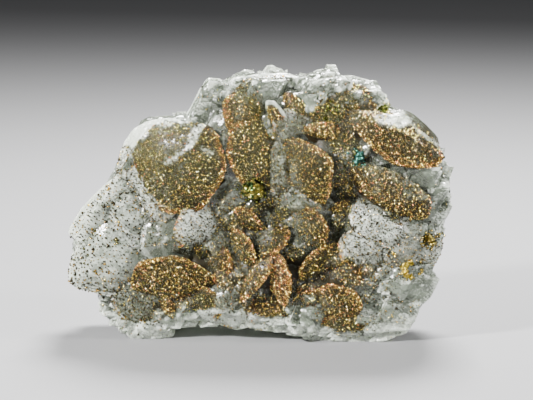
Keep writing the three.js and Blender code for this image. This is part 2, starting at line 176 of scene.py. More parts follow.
def cleaved(points, size, amount, sharp):
    """Breaks a surface into steps along calcite's three cleavages: in slanted coordinates, each one is
    pulled towards a staircase with uneven treads of about the given size and risers narrowed by sharp."""
    slanted = points @ np.linalg.inv(cleavage).T / size + [100, 160, 220]
    step = np.searchsorted(treads, slanted)
    low, wide = treads[step - 1], treads[step] - treads[step - 1]
    stairs = low + wide * np.clip(((slanted - low) / wide - 0.5) * sharp + 0.5, 0, 1)
    return points + (amount * size * ((stairs - slanted) @ cleavage.T))


def shattered(points, weight, shake, large, small):
    """Shakes points by (distance, size of the waves), then moves them, as far as the weight says, to the
    large and small steps of the cleavages, each given as cleaved takes them."""
    distance, size = shake
    shaken = points + distance * np.stack([noise(points, size, k) for k in range(3)], -1)
    return points + weight * (cleaved(cleaved(shaken, *large), *small) - points)


def ring_faces(rings, poles=()):
    """The squares between closed rings of points and, given two poles, the triangles from each of them to
    the first ring and to the last."""
    ahead = np.roll(rings, -1, axis=1)
    faces = [np.stack([rings[:-1], rings[1:], ahead[1:], ahead[:-1]], -1).reshape(-1, 4)]
    for pole, one, other in zip(poles, (rings[0], ahead[-1]), (ahead[0], rings[-1])):
        faces.append(np.stack([np.full(len(one), pole), one, other], -1))
    return faces


def plate_surface(columns, rows, band):
    """The plate as one closed surface. A square grid on (s, t) is laid over the outline by
    x = s sqrt(1 - t^2 / 2), z = t sqrt(1 - s^2 / 2), scaled to the outline's reach at each angle: once for
    the face, once for the back. Between the two runs a band that bulges towards the outline. The back and
    the border of the face are shattered."""
    s, t = np.meshgrid(np.linspace(-1, 1, columns), np.linspace(-1, 1, rows))
    x, z = s * np.sqrt(1 - t * t / 2), t * np.sqrt(1 - s * s / 2)
    share, angle = np.hypot(x, z) * face_end, np.arctan2(z, x)
    reach = outline_reach(angle)

    def laid(share, reach, angle, depth):
        across = middle[0] + share * reach * np.cos(angle)
        up = middle[1] + share * reach * np.sin(angle)
        return np.stack([across, depth(share, across, up), up], -1)

    face, back = (laid(share, reach, angle, depth) for depth in (front_at, back_at))
    small = crust(face[..., 0], face[..., 2], 3.4, 0) + 0.6 * crust(face[..., 0], face[..., 2], 1.5, 5)
    face[..., 1] -= (1.1 + 0.6 * (small + 0.5)) * smooth_step(face_end, 0.78, share)
    index = np.arange(rows * columns).reshape(rows, columns)
    edge = np.concatenate([index[0, :-1], index[:-1, -1], index[-1, :0:-1], index[:0:-1, 0]])
    part = np.linspace(0, 1, band + 2)[1:-1, None]
    near, far = face.reshape(-1, 3)[edge], back.reshape(-1, 3)[edge]
    wall = laid(face_end + 0.05 * np.sin(math.pi * part) ** 0.6, reach.ravel()[edge], angle.ravel()[edge],
                lambda *_: near[:, 1] * (1 - part) + far[:, 1] * part)
    points = np.vstack([face.reshape(-1, 3), back.reshape(-1, 3), wall.reshape(-1, 3)])
    border = smooth_step(0.80, face_end, share_at(points[:, 0], points[:, 2]))
    weight = np.where(points[:, 1] > mid_plane(points[:, 0]) + 5, 1, border)[:, None]
    points = shattered(points, weight, (0.5, 2.6), (3.8, 0.85, 6.0), (1.4, 0.35, 5.0))
    squares = np.stack([index[:-1, :-1], index[:-1, 1:], index[1:, 1:], index[1:, :-1]], -1).reshape(-1, 4)
    between = 2 * index.size + np.arange(band * len(edge)).reshape(band, -1)
    rings = np.vstack([edge, between, index.size + edge])
    return points, [squares, index.size + squares[:, ::-1], *ring_faces(rings)]


def put_mesh(name, points, faces):
    """A mesh object from points in millimetres and lists of faces."""
    mesh = bpy.data.meshes.new(name)
    sizes = np.concatenate([np.full(len(f), f.shape[1]) for f in faces])
    corners = np.concatenate([f.ravel() for f in faces])
    mesh.vertices.add(len(points))
    mesh.vertices.foreach_set("co", (points * 0.001).ravel())
    mesh.loops.add(len(corners))
    mesh.loops.foreach_set("vertex_index", corners.astype(np.int32))
    mesh.polygons.add(len(sizes))
    mesh.polygons.foreach_set("loop_start", (np.cumsum(sizes) - sizes).astype(np.int32))
    mesh.update(calc_edges=True)
    piece = bpy.data.objects.new(name, mesh)
    bpy.context.scene.collection.objects.link(piece)
    return piece


plate = put_mesh("calcite", *plate_surface(columns=190, rows=136, band=20))


# The cleavage blocks. Calcite breaks into slanted blocks that all lie the same way: large ones in rows on
# the back, smaller ones round the broken edge, and thin chips that leave steps on both.
block_step, first_row, rows = (17.5, 15.5), 7.5, 4  # across and up, and the height of the lowest row
block_half, block_sunk = np.array([11.4, 4.2, 9.8]), 2.8
edge_blocks, edge_block_half = 11, np.array([3.6, 3.0, 3.8])
terraces, chips, arch_chips = 7, 190, 120  # on each large block, on the back and the edge, over the arch
corner_signs = np.array([[x, y, z] for x in (-1, 1) for y in (-1, 1) for z in (-1, 1)])
block_faces = [np.array([
    [0, 1, 3, 2], [4, 6, 7, 5], [0, 4, 5, 1], [2, 3, 7, 6], [0, 2, 6, 4], [1, 5, 7, 3]])]
blocks = []


def add_block(half, place, own_turn=np.eye(3)):
    """A box with the given half sizes, slanted and turned along the cleavages, moved to its place."""
    corners = (corner_signs * half) @ (own_turn @ cleavage).T + place
    blocks.append(put_mesh("block", corners, block_faces))


def join(piece, solids, operation="UNION"):
    """Joins closed solids to a piece, or cuts it with them, and keeps the result as the piece's mesh."""
    group = bpy.data.collections.new("solids")
    for solid in solids:
        bpy.context.scene.collection.objects.unlink(solid)
        group.objects.link(solid)
    bpy.context.scene.collection.children.link(group)
    change = piece.modifiers.new("join", "BOOLEAN")
    change.operation, change.solver = operation, "MANIFOLD"
    change.operand_type, change.collection = "COLLECTION", group
    result = bpy.data.meshes.new_from_object(piece.evaluated_get(bpy.context.evaluated_depsgraph_get()))
    piece.modifiers.clear()
    piece.data = result
    for solid in solids:
        bpy.data.objects.remove(solid)
    bpy.data.collections.remove(group)


for row in range(rows):
    for column in range(-3, 4):
        across = block_step[0] * (column + 0.37 * (row % 2)) + 2.4 * math.sin(3.1 * row + column)
        up = first_row + block_step[1] * row + 2.6 * math.sin(1.9 * column + row)
        if share_at(across, up) > face_end:
            continue
        size = 1 + 0.25 * math.sin(4.7 * column + 2.9 * row)
        proud = 1.6 * math.sin(2.3 * column + 1.7 * row) - 4 * (size - 1)
        place = np.array([across, mid_plane(across) + back_depth - block_sunk + proud, up])
        own_turn = turned(*seeds.uniform(-0.05, 0.05, 3))
        add_block(block_half * size, place, own_turn)
        for terrace in range(terraces):
            half = np.array([seeds.uniform(1.5, 8.0), seeds.uniform(0.8, 1.2), seeds.uniform(1.2, 6.0)])
            spot = np.array([1, 0, 1]) * seeds.uniform(-1, 1, 3) * block_half * size
            spot[1] = block_half[1] * size - half[1] + seeds.uniform(0.15, 0.8)
            add_block(half, own_turn @ cleavage @ spot + place, own_turn)
for i in range(edge_blocks):
    corner = outline[int(i * len(outline) / edge_blocks + 0.5) % len(outline)]
    across, up = middle + (corner - middle) * (face_end + 0.02 * math.sin(5.3 * i))
    depth = mid_plane(across) + 3.4 + 3.6 * math.sin(2.6 * i)
    add_block(edge_block_half * (1 + 0.25 * math.sin(3.7 * i)), (across, depth, up))
for i in range(chips):
    angle, out = seeds.uniform(0, 2 * math.pi), math.sqrt(seeds.uniform(0, 1))
    on_edge = i % 3 == 0
    across, up = place_at(seeds.uniform(0.9, 0.97) if on_edge else 0.94 * out, angle)
    behind = seeds.uniform(-1, 10) if on_edge else back_depth + seeds.uniform(-0.4, 1.6)
    half = seeds.uniform(0.5, 1.6, 3) if on_edge else seeds.uniform((1.5, 0.3, 1.5), (5, 0.9, 5))
    add_block(half, (across, mid_plane(across) + behind, up))
for i in range(arch_chips):
    across, lift = seeds.uniform(-35, 38), seeds.uniform(0.6, 4.6)
    depth = mid_plane(across) - 2.2 - 0.75 * lift + seeds.uniform(-0.5, 0.7)
    add_block(seeds.uniform((0.9, 0.7, 0.6), (2.6, 1.7, 1.5)), (across, depth, low_edge_at(across) + lift))
first_block = blocks.pop(0)
join(first_block, blocks)

# The blocks end at the outline: they are cut with a prism of its shape, a little rippled, which reaches
# past them to the front and the back.
angle = np.linspace(0, 2 * math.pi, 720, endpoint=False)
ray = np.stack([np.cos(angle), np.sin(angle)], -1)
ripple = 0.08 * noise(np.insert(40 * ray, 2, 0, axis=1), 1.3)
wall = middle + (outline_reach(angle) + ripple)[:, None] * ray
rings = np.arange(2 * len(wall)).reshape(2, -1)
prism = put_mesh("outline", np.vstack([np.insert(wall, 1, depth, axis=1) for depth in (-9.0, 40.0)]),
                 [*ring_faces(rings), rings[:1], rings[1:, ::-1]])
join(first_block, [prism], "INTERSECT")
solids = [first_block]


# The calcite crystals. Each is a flat rhombohedron worn to a lens, with a sharp rim. Long ones have two
# faces that meet in a ridge, round ones three. They grew out of the plate and through each other. Each row
# gives the middle (across, ahead of the plate's face, up), the half length, width and thickness, how far
# its front leans, towards which side and which way it runs, in degrees, and the shape of its rim. Then come
# how much chalcopyrite lies on it, from 0 to 1, the dust's tone, and the side where it thins out, if any.
Crystal = namedtuple("Crystal", "name at size turn point dust tone thin_side", defaults=[None])
crystals = [Crystal(*row) for row in (
    ("left disc", (-19.9, 1.9, 45.4), (11.8, 11.4, 5.4), (18, 170, 20), 2.3, 0.95, "olive", 140),
    ("disc behind it", (-24.0, -1.3, 43.8), (12.8, 12.0, 6.0), (22, 150, 40), 2.4, 0.5, "pepper"),
    ("tall middle lens", (-0.2, 0.9, 48.4), (9.8, 8.6, 4.0), (22, 20, 97), 1.7, 0.85, "olive", 0),
    ("gold-rimmed lens", (-2.6, 0.4, 59.2), (8.0, 6.4, 3.6), (26, 40, 60), 1.8, 0.8, "gold", 45),
    ("golden blade", (10.4, 1.4, 43.6), (10.0, 9.8, 3.9), (34, 204, -66), 1.6, 0.95, "gold", 195),
    ("upper right blade", (34.6, 2.1, 52.4), (12.8, 7.4, 4.2), (28, 60, -24), 1.4, 1.0, "brown", 75),
    ("lower right blade", (32.1, 2.1, 39.2), (12.2, 7.2, 4.2), (34, 236, -33), 1.55, 1.0, "brown", 55),
    ("crossed blade, left", (-4.8, 1.0, 24.2), (6.2, 5.2, 2.0), (44, 205, -62), 1.5, 0.95, "gold", 215),
    ("crossed blade, top", (3.0, 1.1, 27.0), (5.0, 4.4, 2.1), (34, 120, 20), 1.5, 0.95, "gold", 150),
    ("crossed blade, low", (-0.9, 1.8, 17.9), (7.8, 3.6, 1.9), (50, 150, 60), 1.5, 1.0, "brown", 150),
    ("crossed blade, right", (4.4, 1.7, 17.6), (7.2, 5.2, 2.0), (44, 190, -77), 1.5, 0.95, "rose", 190),
    ("small lens above them", (-3.5, 0.4, 31.4), (4.8, 4.0, 2.1), (36, 242, -28), 1.7, 0.85, "gold", 240),
    ("lens right of middle", (11.8, 1.1, 29.6), (6.8, 6.6, 2.8), (38, 205, -66), 1.7, 0.85, "gold", 205),
    ("bright-edged blade", (14.5, 1.2, 20.7), (6.0, 5.2, 2.2), (42, 315, 45), 1.6, 0.95, "gold", 315),
    ("gold chip", (9.6, 0.1, 17.6), (2.4, 1.6, 1.4), (30, 180, 80), 1.4, 0.9, "gold"),
    ("rose rod", (12.4, 0.4, 13.6), (3.8, 1.5, 1.2), (34, 285, 12), 1.5, 0.95, "rose"),
    ("lower right lens", (19.1, 1.2, 11.0), (7.0, 5.8, 2.6), (34, 240, 25), 1.8, 0.95, "brown", 250),
    ("lens at the foot", (21.6, 0.0, 4.6), (5.8, 4.2, 2.8), (22, 260, -5), 2.0, 0.8, "olive", 270),
    ("long brown blade", (-21.9, 1.6, 14.8), (11.2, 11.4, 3.2), (36, 272, -4), 1.5, 0.95, "brown", 272),
    ("olive cone", (-15.6, 0.0, 25.8), (2.6, 1.6, 1.8), (30, 90, 80), 1.8, 0.8, "olive"),
    ("brown patch", (-10.6, 0.2, 20.2), (5.0, 4.2, 2.4), (28, 200, 70), 1.8, 0.9, "brown", 190),
    ("speckled white lens", (-38.2, -0.4, 21.0), (10.2, 9.2, 5.2), (12, 190, 60), 2.6, 0.4, "spots"),
    ("white ridge", (-39.6, 0.7, 33.2), (11.4, 4.4, 5.0), (22, 140, 49), 2.2, 0.12, "spots"),
    ("speckled shoulder", (-31.4, -1.3, 33.9), (8.2, 6.8, 4.4), (18, 60, -40), 2.0, 0.4, "spots"),
    ("grey lens", (-15.1, 1.6, 29.8), (6.4, 6.0, 2.8), (18, 330, 30), 2.3, 0.9, "pepper", 330),
    ("lens beside it", (-9.4, 0.0, 27.2), (5.0, 4.2, 2.4), (22, 10, 80), 2.0, 0.5, "grey"),
    ("lower left lens", (-29.9, -0.3, 10.8), (8.2, 7.0, 4.0), (12, 200, 30), 2.2, 0.45, "grey"),
    ("gold sliver", (-23.4, 0.5, 9.5), (3.8, 2.0, 1.9), (38, 209, -61), 1.4, 0.9, "brown"),
    ("red-arc lens", (-14.3, 0.4, 10.0), (5.8, 5.4, 2.6), (34, 220, -50), 1.8, 0.75, "olive", 220),
    ("dotted lens", (27.9, 0.3, 24.8), (8.0, 7.4, 3.8), (16, 310, 40), 2.3, 0.6, "pepper", 310),
    ("grey facet", (31.1, -0.5, 31.2), (9.0, 6.2, 3.8), (22, 60, -30), 2.2, 0.5, "pepper"),
    ("glassy right edge", (42.8, -0.7, 38.6), (9.6, 5.4, 4.8), (25, 10, 84), 2.2, 0.03, "white"),
    ("white right lens", (37.6, -0.0, 25.7), (8.6, 7.4, 4.4), (18, 340, -50), 2.4, 0.15, "spots"),
    ("right shoulder", (37.2, -0.3, 14.7), (7.6, 6.4, 4.4), (20, 350, 35), 2.3, 0.1, "white"),
    ("right foot lens", (31.2, -0.3, 6.9), (8.4, 6.4, 4.2), (18, 280, 20), 2.2, 0.2, "white"),
    ("upper left block", (-12.2, -1.4, 59.0), (6.8, 5.4, 5.2), (20, 130, 60), 2.8, 0.15, "white"),
    ("striated crown", (0.6, -1.7, 63.6), (9.2, 4.4, 5.0), (30, 90, 8), 2.5, 0.15, "white"),
    ("ringed sliver", (4.6, 1.7, 57.2), (5.4, 2.6, 1.7), (38, 208, -60), 2.0, 0.95, "brown"),
    ("copper sliver", (8.6, 0.9, 59.6), (4.6, 2.8, 2.0), (30, 200, -62), 1.6, 0.85, "brown"),
    ("glassy dome", (16.4, -1.8, 62.0), (6.6, 5.6, 4.8), (15, 90, 30), 2.4, 0.05, "white"),
    ("green-gold lens", (17.1, 0.4, 57.8), (4.8, 4.0, 2.8), (12, 60, 0), 2.0, 0.75, "olive"),
    ("brown lip", (15.9, 0.9, 53.7), (5.3, 3.3, 2.4), (25, 280, -5), 1.5, 1.0, "brown"),
    ("speckled crest", (23.0, -1.3, 60.4), (6.0, 5.0, 4.0), (16, 70, -30), 2.2, 0.5, "olive"),
    ("white knob", (28.4, -1.0, 60.8), (3.7, 3.2, 3.2), (15, 45, 0), 2.2, 0.0, "white"),
    ("brown saddle", (23.0, -0.2, 55.8), (6.8, 5.4, 3.6), (15, 80, 40), 2.0, 0.75, "brown"),
    ("dusky shelf", (20.2, 0.5, 47.6), (7.6, 6.6, 3.2), (12, 70, 20), 2.2, 0.6, "olive"),
    ("golden strip", (19.6, 0.6, 34.5), (4.0, 1.9, 1.3), (40, 300, 52), 1.5, 0.95, "gold"),
    ("thin-rimmed lens", (25.4, -0.4, 34.4), (3.5, 2.4, 2.0), (20, 30, 75), 1.6, 0.6, "brown", 350),
    ("coppery patch", (21.4, 0.0, 19.2), (5.6, 4.6, 2.8), (18, 120, 60), 2.0, 0.7, "brown"),
    ("lens over the arch", (2.1, -0.4, 8.6), (9.0, 5.6, 3.4), (15, 260, 5), 2.0, 0.8, "brown"),
    ("grey lens over the arch", (-7.2, -0.3, 7.8), (6.8, 5.0, 3.0), (12, 250, -10), 2.2, 0.5, "grey"),
    ("grey hollow", (-6.8, 0.0, 36.4), (6.8, 5.2, 3.2), (16, 300, 40), 2.4, 0.4, "grey"),
    ("shelf under the golden blade", (12.0, 0.0, 35.6), (7.4, 4.6, 3.2), (14, 250, -20), 2.3, 0.4, "grey"),
    ("grey floor", (-21.0, -1.0, 27.0), (9.0, 6.6, 3.4), (10, 80, 10), 2.6, 0.2, "grey"),
    ("pale lens, lower right", (27.4, -0.9, 13.6), (7.0, 5.8, 3.4), (16, 60, -35), 2.3, 0.2, "white"),
    ("white wedge", (9.2, -1.2, 5.6), (6.4, 4.4, 4.2), (12, 285, -50), 2.0, 0.05, "white"),
    ("pale lens above the arch", (-8.6, -0.3, 12.6), (6.0, 4.4, 3.0), (14, 100, 30), 2.2, 0.4, "grey"),
    ("grey facet in the gap", (39.4, -0.0, 46.2), (7.2, 4.6, 3.4), (16, 20, -30), 2.5, 0.1, "white"),
    ("left foot shoulder", (-35.6, -1.6, 7.6), (5.4, 4.8, 4.2), (15, 215, 40), 2.6, 0.1, "white"),
    ("left foot", (-27.9, -1.6, 3.5), (6.4, 4.4, 5.2), (14, 90, 0), 3.0, 0.03, "spots"),
    ("grey saddle", (-8.2, 1.0, 49.6), (8.6, 4.8, 3.4), (14, 150, 105), 2.4, 0.25, "grey"),
    ("grey web", (5.6, 0.6, 44.6), (7.4, 4.6, 3.2), (8, 0, 95), 2.3, 0.6, "grey"),
    ("web over the blades", (8.2, 0.3, 53.6), (6.4, 5.2, 3.0), (12, 300, 100), 2.3, 0.5, "grey"),
)]

# What goes with each tone of the dust: how far a crystal's shape is broken and its surface bruised, how
# white it is, how much dark film lies on it, how warm the film is, and how closely the grains stand.
tones = {
    "olive": (0, 0, 0, 1, 0.25, 1), "gold": (0, 0, 0, 1, 0.5, 1),
    "brown": (0, 0, 0, 1, 0.7, 1), "rose": (0, 0, 0, 1, 1.0, 1),
    "spots": (0, 0.07, 0.42, 0.1, 0.6, 6), "grey": (0.06, 0.05, 0.2, 0.35, 0.1, 1),
    "white": (0.65, 0.85, 0.22, 0.1, 0.6, 1), "pepper": (0, 0.1, 0.75, 0.12, 0.3, 4)}
broken_by, bruised_by, frost_by, film_by, warmth_by, grains_by = np.array(list(tones.values())).T
number = {tone: k for k, tone in enumerate(tones)}
column = Crystal(*zip(*crystals))  # the crystals' table by columns


def face_at(across, up):
    """Depth of the plate's face at a place."""
    return front_at(share_at(across, up), across, up)


def crystal_frame(at, turn):
    """A crystal's middle and the matrix that stands it up: its front looks towards -Y, then it is turned
    along its length and leans round the axis square to the side it leans to. The lean's matrix is the
    identity, plus the sine times the axis's cross-product matrix, plus (1 - cosine) times its square."""
    across, ahead, up = at
    lean, towards, along = np.radians(turn)
    x, z = -math.sin(towards), math.cos(towards)
    tip = np.array([[0, -z, 0], [z, 0, -x], [0, x, 0]])
    leaned = np.eye(3) + math.sin(lean) * tip + (1 - math.cos(lean)) * tip @ tip
    centre = np.array([across, face_at(across, up) - ahead, up])
    return centre, leaned @ turned(0, -along, 0) @ turned(math.pi / 2, 0, 0)


def rim_at(angle, point, index):
    """The rim's reach at an angle: a superellipse times a slow wave of three, times a polygon with soft
    corners, which is the power mean of the distances to six uneven sides."""
    ellipse = (np.abs(np.cos(angle)) ** point + np.abs(np.sin(angle)) ** point) ** (-1 / point)
    sides = np.arange(6) * math.pi / 3 + 1.1 * index + 0.3 * lattice[index % 32, :6, 3]
    facing = np.maximum(np.cos(np.asarray(angle)[..., None] - sides), 0)
    polygon = np.sum(facing ** 16, -1) ** (-1 / 16)
    return ellipse * (1 + 0.05 * np.cos(3 * angle + 1.7 * index)) * (0.5 + 0.48 * polygon)


def lens_depth(share, angle, size, index):
    """The lower of the bend down to the rim and the flat faces. A long crystal is a roof: the bend is
    1 - share^1.3, and each of its two faces 0.82 - 0.65 share times the sine. A round one is a low
    pyramid: the bend is 0.66 (1 - share^1.8), each of its three faces 0.62 - 0.24 share times the cosine."""
    if size[0] > 1.35 * size[1]:
        return np.minimum(1 - share ** 1.3, 0.82 - 0.65 * share * np.abs(np.sin(angle)))
    turn = angle - 1.7 * index + math.pi / 3
    steepest = np.max([np.cos(turn - k * 2 * math.pi / 3) for k in range(3)], axis=0)
    return np.minimum(0.66 * (1 - share ** 1.8), 0.62 - 0.24 * share * steepest)


def on_crystal(places, crystal, index):
    """Where places lie on a crystal: how far out towards its rim, at which angle, and how high over it."""
    centre, matrix = crystal_frame(crystal.at, crystal.turn)
    x, y, height = np.moveaxis((places - centre) @ matrix, -1, 0)
    x, y = x / crystal.size[0], y / crystal.size[1]
    angle = np.arctan2(y, x)
    return np.hypot(x, y) / rim_at(angle, crystal.point, index), angle, height


def lens_surface(at, size, turn, point, index, around, rings, broken=0):
    """A closed lens on (share, angle): the height of both sides is the depth over the rim's reach. Growth
    steps pull the height towards a staircase, most near the rim, and the rim itself is finely notched. A
    broken lens is shattered, least at its rim."""
    centre, matrix = crystal_frame(at, turn)
    angle = np.linspace(0, 2 * math.pi, around, endpoint=False)
    share = np.sin(np.linspace(0, math.pi / 2, rings + 1)[1:])[:, None]
    notch = noise(np.stack([9 * np.cos(angle) + index, 9 * np.sin(angle), 0 * angle], -1), 0.45)
    reach = share * rim_at(angle, point, index) * (1 + 0.03 * notch * share ** 4 * (8 / (4 + size[0])))
    depth = lens_depth(share, angle, size, index)
    pull = 0.55 * smooth_step(0.35, 0.1, depth) + 0.06
    sheets = []
    for side in (1, -1):
        wave = noise(np.stack([3 * reach * np.cos(angle), 3 * reach * np.sin(angle) + 7 * side,
                               index + 0 * reach], -1), 0.9)
        steps = 9 * depth + 0.8 * wave
        tread = np.floor(steps)
        stairs = tread + np.clip((steps - tread - 0.5) * 3.5 + 0.5, 0, 1)
        height = np.maximum(depth + pull * (stairs - steps) / 9 + 0.012 * wave, 0)
        height[-1] = 0
        sheets.append(side * size[2] * height)
    x, y = size[0] * reach * np.cos(angle), size[1] * reach * np.sin(angle)
    top = size[2] * lens_depth(0, 0, size, index)
    front = np.stack([x, y, sheets[0]], -1).reshape(-1, 3)
    rear = np.stack([x, y, sheets[1]], -1)[-2::-1].reshape(-1, 3)
    points = np.vstack([[[0, 0, top]], front, rear, [[0, 0, -top]]]) @ matrix.T + centre
    if broken:
        inside = np.repeat(smooth_step(1.08, 0.72, share[:, 0]), around)
        inside = np.concatenate([[1], inside, inside[::-1][around:], [1]])[:, None]
        points = shattered(points, broken * inside, (0.4, 3.6), (4.6, 0.9, 7.0), (1.6, 0.3, 5.0))
    loops = 1 + np.arange((2 * rings - 1) * around).reshape(-1, around)
    return points, ring_faces(loops, (0, len(points) - 1))


for index, crystal in enumerate(crystals):
    around = 84 if crystal.size[0] > 8 else 58 if crystal.size[0] > 4 else 36
    broken = broken_by[number[crystal.tone]]
    surface = lens_surface(*crystal[1:5], index, around, around // 5, broken)
    solids.append(put_mesh(crystal.name, *surface))

# Small crystals fill the gaps between the others and stand along the top edge, and chips stand on the
# upper left rim of the left disc.
gap_crystals, top_crystals, disc_chips = 110, 70, 12
small_crystals = []
for i in range(gap_crystals):
    angle, share = seeds.uniform(0, 2 * math.pi), 0.9 * math.sqrt(seeds.uniform(0, 1))
    across, up = place_at(share, angle)
    length = seeds.uniform(1.4, 4.2)
    place = np.array([across, face_at(across, up), up])
    if any(crystal.dust >= 0.2 and on_crystal(place, crystal, index)[0] < 0.95
           for index, crystal in enumerate(crystals)):
        continue
    size = (length, length * seeds.uniform(0.55, 0.95), length * seeds.uniform(0.3, 0.45))
    turn = (seeds.uniform(10, 50), seeds.uniform(0, 360), seeds.uniform(0, 180))
    small_crystals.append(((across, seeds.uniform(0.0, 1.5), up), size, turn))
for i in range(top_crystals):
    angle, share = math.radians(seeds.uniform(8, 172)), seeds.uniform(0.9, 0.965)
    across, up = place_at(share, angle)
    length = seeds.uniform(0.8, 2.0)
    size = (length, length * seeds.uniform(0.5, 0.9), length * seeds.uniform(0.3, 0.5))
    turn = (seeds.uniform(10, 60), math.degrees(angle) + seeds.uniform(-50, 50), seeds.uniform(0, 180))
    small_crystals.append(((across, seeds.uniform(-3.5, 0.2), up), size, turn))
disc = crystals[0]
centre, matrix = crystal_frame(disc.at, disc.turn)
for angle in np.radians(seeds.uniform(60, 200, disc_chips)):
    reach = 0.97 * rim_at(angle, disc.point, 0) * np.array([math.cos(angle), math.sin(angle)])
    across, depth, up = centre + matrix @ [disc.size[0] * reach[0], disc.size[1] * reach[1], 0]
    length = seeds.uniform(0.5, 1.0)
    turn = (disc.turn[0] + seeds.uniform(-15, 15), disc.turn[1] + seeds.uniform(-20, 20),
            seeds.uniform(0, 180))
    size = (length, length * seeds.uniform(0.5, 0.9), 0.3 * length)
    small_crystals.append(((across, face_at(across, up) - depth, up), size, turn))
for index, (at, size, turn) in enumerate(small_crystals):
    solids.append(put_mesh("small", *lens_surface(at, size, turn, 2.0, index, around=18, rings=5)))
join(plate, solids)

# Round each chalcopyrite group the calcite stands back: an uneven oval hollow, open to the front. The plate
# is cut off flat where it stands.
turn, tip = np.meshgrid(np.linspace(0, 2 * math.pi, 24, endpoint=False), np.linspace(0, math.pi, 13)[1:-1])
oval = np.stack([np.sin(tip) * np.cos(turn), np.sin(tip) * np.sin(turn), np.cos(tip)], -1)
oval = np.vstack([oval.reshape(-1, 3), [[0, 0, 1], [0, 0, -1]]])
oval_faces = ring_faces(np.arange(tip.size).reshape(tip.shape), (tip.size, tip.size + 1))
hollows = []
for solid in [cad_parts[name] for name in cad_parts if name.startswith("chalcopyrite")]:
    box = np.array([solid.matrix_world @ Vector(corner) for corner in solid.bound_box]) * 1000
    half, centre = (box.max(0) - box.min(0)) / 2, (box.max(0) + box.min(0)) / 2
    wave = 1 + 0.16 * noise(oval * 2 + centre, 1.0)[:, None]
    corners = centre + [0, -0.5 * half[1] - 1.2, 0] + wave * oval * (half * [1, 1.5, 1] + 0.35)
    hollows.append(put_mesh("hollow", corners, oval_faces))
join(plate, hollows, "DIFFERENCE")
ground = put_mesh("ground", corner_signs * [90.0, 90.0, 45.0] + [0, 0, -45.0], block_faces)
join(plate, [ground], "DIFFERENCE")
plate.data.validate()  # takes out the few doubled faces that the joining leaves
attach(plate, "root")
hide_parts("calcite_plate")


# Each point of the calcite belongs to the crystal whose surface it lies on. From that come the dust, its
# tone and how near the crystal's rim the point is.
def read(items, name, columns, kind=float):
    """One property of all points, edges or triangles of a mesh, as the rows of an array."""
    values = np.empty(len(items) * columns, dtype=kind)
    items.foreach_get(name, values)
    return values.reshape(-1, columns)


points = read(plate.data.vertices, "co", 3) * 1000
nearest = np.full(len(points), 0.35)
owner = np.full(len(points), -1)
rim_share = np.zeros(len(points))
for index, crystal in enumerate(crystals):
    share, angle, height = on_crystal(points, crystal, index)
    depth = crystal.size[2] * lens_depth(np.minimum(share, 1), angle, crystal.size, index)
    gap = np.where(share < 1.03, np.abs(np.abs(height) - depth), 9)
    closer = gap < nearest
    nearest, owner, rim_share = (np.where(closer, new, old) for new, old in
                                 ((gap, nearest), (index, owner), (share, rim_share)))
owned = owner >= 0


def of_crystal(values, otherwise):
    """For each point the value of its crystal, or another where it lies on none."""
    return np.array([*values, otherwise])[owner]


crystal_tone = of_crystal([number[tone] for tone in column.tone], 0)

# The clear crystals and the plate's border are bruised: there the joined surface breaks once more into
# small steps along the cleavages.
share = share_at(points[:, 0], points[:, 2])
plate_bruised = np.maximum(0.6 * smooth_step(0.82, 0.92, share), 0.25 * (points[:, 1] > 5))
bruised = np.where(owned, bruised_by[crystal_tone], plate_bruised) * smooth_step(0.6, 1.6, points[:, 2])
points = shattered(points, bruised[:, None], (0.25, 1.7), (2.4, 0.55, 6.0), (0.9, 0.3, 4.0))
plate.data.vertices.foreach_set("co", (points * 0.001).ravel())
plate.data.update()
plate.data.set_sharp_from_angle(angle=math.radians(28))

# How sharply the surface bends at each point, from the mean of its neighbours against its normal, and how
# far it stands out of its surroundings, against a blurred map of the nearest depth.
normal = read(plate.data.vertex_normals, "vector", 3)
pairs = read(plate.data.edges, "vertices", 2, np.int32)
pairs = np.concatenate([pairs, pairs[:, ::-1]])
degree = np.maximum(np.bincount(pairs[:, 0], minlength=len(points)), 1)


def neighbour_mean(values):
    """The mean of a value over each point's neighbours."""
    return np.bincount(pairs[:, 0], weights=values[pairs[:, 1]], minlength=len(points)) / degree


pull = points - np.stack([neighbour_mean(points[:, k]) for k in range(3)], -1)
length = np.linalg.norm(points[pairs[:, 1]] - points[pairs[:, 0]], axis=1)
reach = np.bincount(pairs[:, 0], length, len(points))
bend = np.sum(pull * normal, 1) / np.maximum(reach / degree, 0.02)
bend = (0.5 * bend + 0.5 * neighbour_mean(bend)) * (reach < 1.3 * degree)

map_cell, map_shape = 0.7, (144, 104)  # the width of the map's cells, and how many there are each way
cells = ((points[:, (0, 2)] + [50, 2]) / map_cell).astype(int)  # from 50 mm to the left and 2 mm below
cells = np.clip(cells, 0, np.array(map_shape) - 1)
cell = cells[:, 0] * map_shape[1] + cells[:, 1]
nearest_depth = np.full(map_shape[0] * map_shape[1], 99.0)
np.minimum.at(nearest_depth, cell, points[:, 1])
filled = (nearest_depth < 99).astype(float).reshape(map_shape)
depth_map = np.where(nearest_depth < 99, nearest_depth, 0).reshape(map_shape)


def stands_out(radius):
    """How far each point stands before the mean of the nearest depths, blurred by a bell of the radius."""
    bell = np.exp(-0.5 * (np.arange(-12, 13) * map_cell / radius) ** 2)
    layers = (depth_map, filled)
    for axis in (0, 1):
        layers = [np.apply_along_axis(np.convolve, axis, layer, bell, "same") for layer in layers]
    return (layers[0] / np.maximum(layers[1], 1e-6)).ravel()[cell] - points[:, 1]


proud = stands_out(3.0) + 1.2 * np.minimum(stands_out(1.1) + 0.35, 0)

